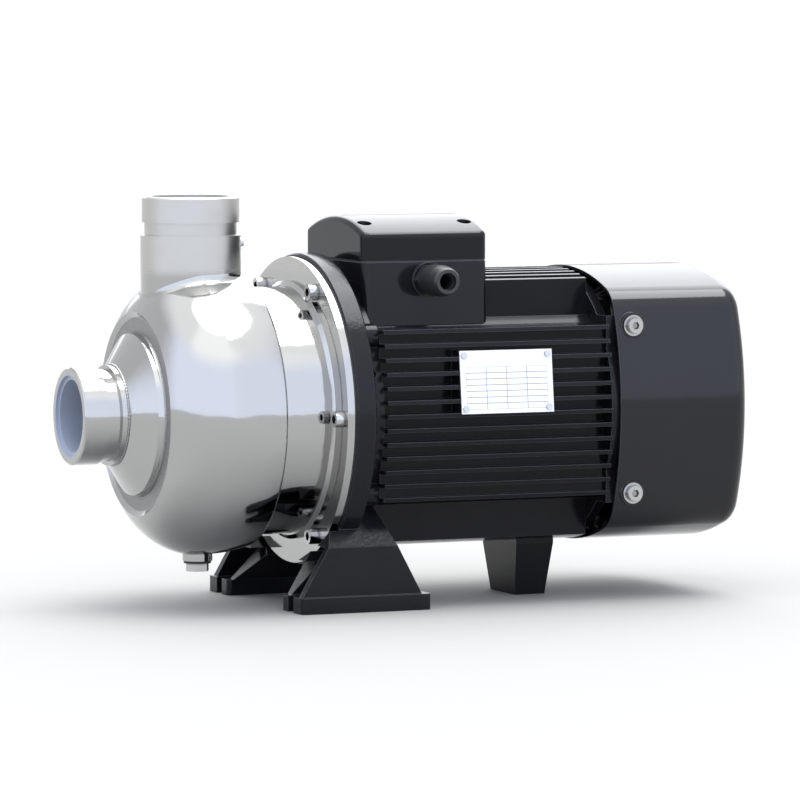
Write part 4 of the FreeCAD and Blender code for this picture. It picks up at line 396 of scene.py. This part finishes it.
def wound_copper():
    """Varnished wire, in strands drawn out round the shaft."""
    finish = Finish("copper")
    x, radius, angle = finish.about_shaft()
    along = finish.join(finish.times(x, 6.0), radius, finish.times(angle, 0.01))
    strands = finish.noise(along, scale=900.0, detail=1.0)
    return finish.set(base_color=finish.blend(strands, (0.30, 0.10, 0.03), (0.62, 0.26, 0.08)),
                      metallic=0.8, roughness=0.35, normal=finish.bump(strands, depth=0.0002))


def plate_alloy():
    """Satin alloy plate with a ruled blank table."""
    low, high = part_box("nameplate")
    finish = Finish("plate_alloy")
    spot = finish.split(finish.place())
    across = finish.span(spot[0], low.x, high.x)
    up = finish.span(spot[2], low.z, high.z)
    inside = finish.times(finish.between(across, TABLE_LEFT, TABLE_RIGHT, TABLE_EDGE),
                          finish.between(up, TABLE_LOW, TABLE_HIGH, TABLE_EDGE))

    def from_line(value, start, pitch):
        """Distance from the nearest ruled line, as a share of the lines' pitch."""
        steps = finish.times(finish.calc("SUBTRACT", value, start), 1 / pitch)
        return finish.calc("PINGPONG", steps, 0.5)

    rows = finish.span(from_line(up, TABLE_LOW, TABLE_ROW), *ROW_LINE, 1.0, 0.0)
    columns = finish.span(from_line(across, TABLE_LEFT, TABLE_COLUMN), *COLUMN_LINE, 1.0, 0.0)
    ink = finish.times(finish.calc("MAXIMUM", rows, columns), inside)
    brush = finish.noise(finish.scaled(finish.place(), PLATE_BRUSH), scale=3.0, detail=2.0)
    return finish.set(base_color=finish.blend(ink, finish.blend(brush, *PLATE_SILVER), PLATE_INK),
                      metallic=0.55, roughness=finish.spread(brush, 0.32, 0.42),
                      normal=finish.bump(ink, depth=-0.00004))


finishes = {
    "pump_steel": turned_steel("pump_steel", WHITE_STEEL, roughness=0.09),
    "machined_steel": turned_steel("machined_steel", (0.52, 0.52, 0.52), roughness=0.24,
                                   line_depth=0.00001),
    "fastener_steel": plain_metal("fastener_steel", (0.50, 0.50, 0.50), roughness=0.11,
                                  crevice=CREVICE_REACH),
    "frame_paint": gloss_paint("frame_paint", roughness=0.15, gloss=0.16),
    "bracket_paint": gloss_paint("bracket_paint", roughness=0.18, gloss=0.22,
                                 peel=0.00010, peel_scale=420.0),
    "shield_paint": gloss_paint("shield_paint", roughness=0.20, gloss=0.20),
    "cover_paint": gloss_paint("cover_paint", roughness=0.08, gloss=0.38, peel=0.00001),
    "box_paint": gloss_paint("box_paint", roughness=0.09, gloss=0.22, peel=0.00001),
    "foot_plastic": moulded("foot_plastic", (0.007, 0.007, 0.008), roughness=0.35, gloss=0.2),
    "gland_plastic": moulded("gland_plastic", (0.016, 0.016, 0.018), roughness=0.38),
    "fan_plastic": moulded("fan_plastic", (0.03, 0.03, 0.03), roughness=0.45),
    "seal_rubber": moulded("seal_rubber", (0.02, 0.02, 0.02), roughness=0.7),
    "seal_ceramic": moulded("seal_ceramic", (0.78, 0.76, 0.72), roughness=0.2, grain=0.000005),
    "core_steel": core_steel(),
    "copper": wound_copper(),
    "rotor_alloy": plain_metal("rotor_alloy", (0.60, 0.60, 0.60), roughness=0.4, grain=0.0001),
    "brass": plain_metal("brass", (0.66, 0.46, 0.18), roughness=0.28),
    "plate_alloy": plate_alloy(),
}


def finish_nodes():
    """Give every solid its slot's finish, and then four of them another."""
    for subpart in frame["record"]["subparts"]:
        node = frame["nodes"][subpart["node"]]
        node.data.materials.clear()
        node.data.materials.append(finishes[subpart["material_slot"]])
    pressed = casing_steel()
    grey = moulded("grey_gasket", (0.035, 0.035, 0.04), roughness=0.6)
    for name, material in (("casing_shell", pressed), ("discharge_nozzle", pressed),
                           ("suction_nozzle", nozzle_steel()), ("terminal_box_gasket", grey)):
        frame["nodes"][name].data.materials[0] = material


def add_object(name, data):
    made = bpy.data.objects.new(name, data)
    bpy.context.scene.collection.objects.link(made)
    return made


def new_piece(name, mesh):
    """Put a mesh into the scene as a piece that rides on the fixed body."""
    piece = add_object(name, mesh)
    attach(piece, "root")
    return piece


def mesh_of(name, shape):
    """Turn a finished bmesh into a mesh."""
    mesh = bpy.data.meshes.new(name)
    shape.to_mesh(mesh)
    shape.free()
    return mesh


def head_tops(shape, middle):
    """Middle of the top of each of four screws, one in each quarter about a middle."""
    tops = []
    for side_x in (-1, 1):
        for side_y in (-1, 1):
            spots = [vert.co for vert in shape.verts
                     if (vert.co.x - middle.x) * side_x > 0 and (vert.co.y - middle.y) * side_y > 0]
            xs = [spot.x for spot in spots]
            ys = [spot.y for spot in spots]
            tops.append(Vector(((min(xs) + max(xs)) / 2, (min(ys) + max(ys)) / 2,
                                max(spot.z for spot in spots))))
    return tops


def cross_prisms(tops):
    """Closed tapered prisms with a cross for their outline, one through each top."""
    a, b = CROSS_REACH, CROSS_HALF_WIDTH
    outline = [(a, -b), (a, b), (b, b), (b, a), (-b, a), (-b, b),
               (-a, b), (-a, -b), (-b, -b), (-b, -a), (b, -a), (b, -b)]
    shape = bmesh.new()
    for top in tops:
        low, high = [[shape.verts.new((top.x + x * taper, top.y + y * taper, top.z + z))
                      for x, y in outline]
                     for z, taper in zip((-CROSS_DEPTH, CROSS_DEPTH), CROSS_TAPER)]
        shape.faces.new(list(reversed(low)))
        shape.faces.new(high)
        for side in range(len(outline)):
            after = (side + 1) % len(outline)
            shape.faces.new((low[side], low[after], high[after], high[side]))
    return mesh_of("cross_prisms", shape)


def recess_lid_screws():
    """Cut a cross recess into the head of each lid screw."""
    shape = bmesh.new()
    shape.from_mesh(frame["nodes"]["lid_screws"].data)
    bmesh.ops.remove_doubles(shape, verts=shape.verts, dist=MERGE_GAP)
    low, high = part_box("lid_screws")
    tops = head_tops(shape, (low + high) / 2)
    screws = new_piece("lid_screws_recessed", mesh_of("lid_screws", shape))
    tool = add_object("cross_tool", cross_prisms(tops))
    cut = screws.modifiers.new("recess", "BOOLEAN")
    cut.operation = "DIFFERENCE"
    cut.solver = "EXACT"
    cut.object = tool
    cut_screws = screws.evaluated_get(bpy.context.evaluated_depsgraph_get())
    screws.data = bpy.data.meshes.new_from_object(cut_screws)
    screws.modifiers.clear()
    bpy.data.objects.remove(tool)
    screws.data.materials.clear()
    steel = plain_metal("lid_screw_steel", (0.30, 0.30, 0.30), roughness=0.28)
    screws.data.materials.append(steel)
    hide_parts("lid_screws")


def weld_bead():
    """Rippled bead where the suction spigot meets the casing."""
    shape = bmesh.new()
    loops = []
    for step in range(BEAD_AROUND):
        angle = 2 * math.pi * step / BEAD_AROUND
        height = BEAD_HEIGHT * (1 + BEAD_RIPPLE_SHARE * math.cos(angle * BEAD_RIPPLES))
        loop = []
        for point in range(BEAD_ACROSS):
            turn = 2 * math.pi * point / BEAD_ACROSS
            radius = SEAM_RADIUS + height * math.sin(turn)
            loop.append(shape.verts.new((SEAM_X + BEAD_WIDTH * height * math.cos(turn),
                                         radius * math.cos(angle),
                                         SHAFT_HEIGHT + radius * math.sin(angle))))
        loops.append(loop)
    for step, first in enumerate(loops):
        second = loops[(step + 1) % BEAD_AROUND]
        for point in range(BEAD_ACROSS):
            after = (point + 1) % BEAD_ACROSS
            face = shape.faces.new((first[point], first[after], second[after], second[point]))
            face.smooth = True
    bmesh.ops.recalc_face_normals(shape, faces=shape.faces)
    mesh = mesh_of("weld_bead", shape)
    mesh.materials.append(plain_metal("weld_steel", (0.30, 0.295, 0.29), roughness=0.24))
    new_piece("weld_bead", mesh)


def camera():
    data = bpy.data.cameras.new("photo_view")
    data.lens = VIEW_LENS
    data.sensor_width = VIEW_SENSOR
    data.clip_end = VIEW_REACH
    seen = add_object("photo_view", data)
    back = Vector((math.sin(VIEW_AZIMUTH) * math.cos(VIEW_ELEVATION),
                   -math.cos(VIEW_AZIMUTH) * math.cos(VIEW_ELEVATION),
                   math.sin(VIEW_ELEVATION)))
    seen.location = VIEW_TARGET + back * VIEW_DISTANCE
    seen.rotation_euler = (-back).to_track_quat("-Z", "Y").to_euler()
    bpy.context.scene.camera = seen


def floor():
    """A pale floor that runs on past the picture."""
    corners = [(x * FLOOR_HALF, y * FLOOR_HALF, 0) for x, y in ((-1, -1), (1, -1), (1, 1), (-1, 1))]
    mesh = bpy.data.meshes.new("floor")
    mesh.from_pydata(corners, [], [(0, 1, 2, 3)])
    ground = add_object("floor", mesh)
    pale = Finish("floor").set(base_color=FLOOR_COLOUR, roughness=0.9, specular_ior_level=0.1)
    mesh.materials.append(pale)


def sky():
    """A soft studio: bluish in front and dimmer behind, with bright fields high up."""
    world = bpy.data.worlds.new("studio")
    world.use_nodes = True
    bpy.context.scene.world = world
    graph = Graph(world.node_tree)

    def step(value, ends):
        return graph.span(value, *ends, smooth=True)

    direction = graph.node("ShaderNodeTexCoord").outputs["Generated"]
    parts = graph.split(direction)
    x, z = parts["X"], parts["Z"]
    level = graph.node("ShaderNodeVectorMath", {0: graph.scaled(direction, (1.0, 1.0, 0.0))},
                       operation="NORMALIZE").outputs[0]

    front = graph.blend(step(x, RIGHT_FROM), SKY_LEFT, SKY_RIGHT)
    low = graph.blend(step(graph.dot(level, REAR_SIDE), REAR_FROM), front, SKY_BEHIND)
    high = graph.blend(step(graph.dot(level, CAMERA_SIDE), ABOVE_FROM), SKY_OVERHEAD, SKY_ABOVE)
    whole = graph.blend(step(z, HIGH_FROM), low, high)

    softbox = graph.times(step(graph.dot(level, SOFTBOX_SIDE), SOFTBOX_FROM),
                          graph.times(step(z, SOFTBOX_FOOT), step(z, SOFTBOX_TOP)))
    softbox_light = graph.blend(step(z, SOFTBOX_RISE), SOFTBOX_LOW, SOFTBOX_HIGH)
    whole = graph.blend(softbox, whole, softbox_light)
    whole = graph.blend(graph.times(step(x, STRIP_FROM), step(z, STRIP_FOOT)), whole, STRIP)
    whole = graph.blend(step(z, CAP_FOOT), whole, CAP)
    graph.feed(world.node_tree.nodes["Background"].inputs["Color"], whole)


finish_nodes()
recess_lid_screws()
weld_bead()
floor()
sky()
camera()
bpy.context.scene.view_settings.view_transform = "Standard"
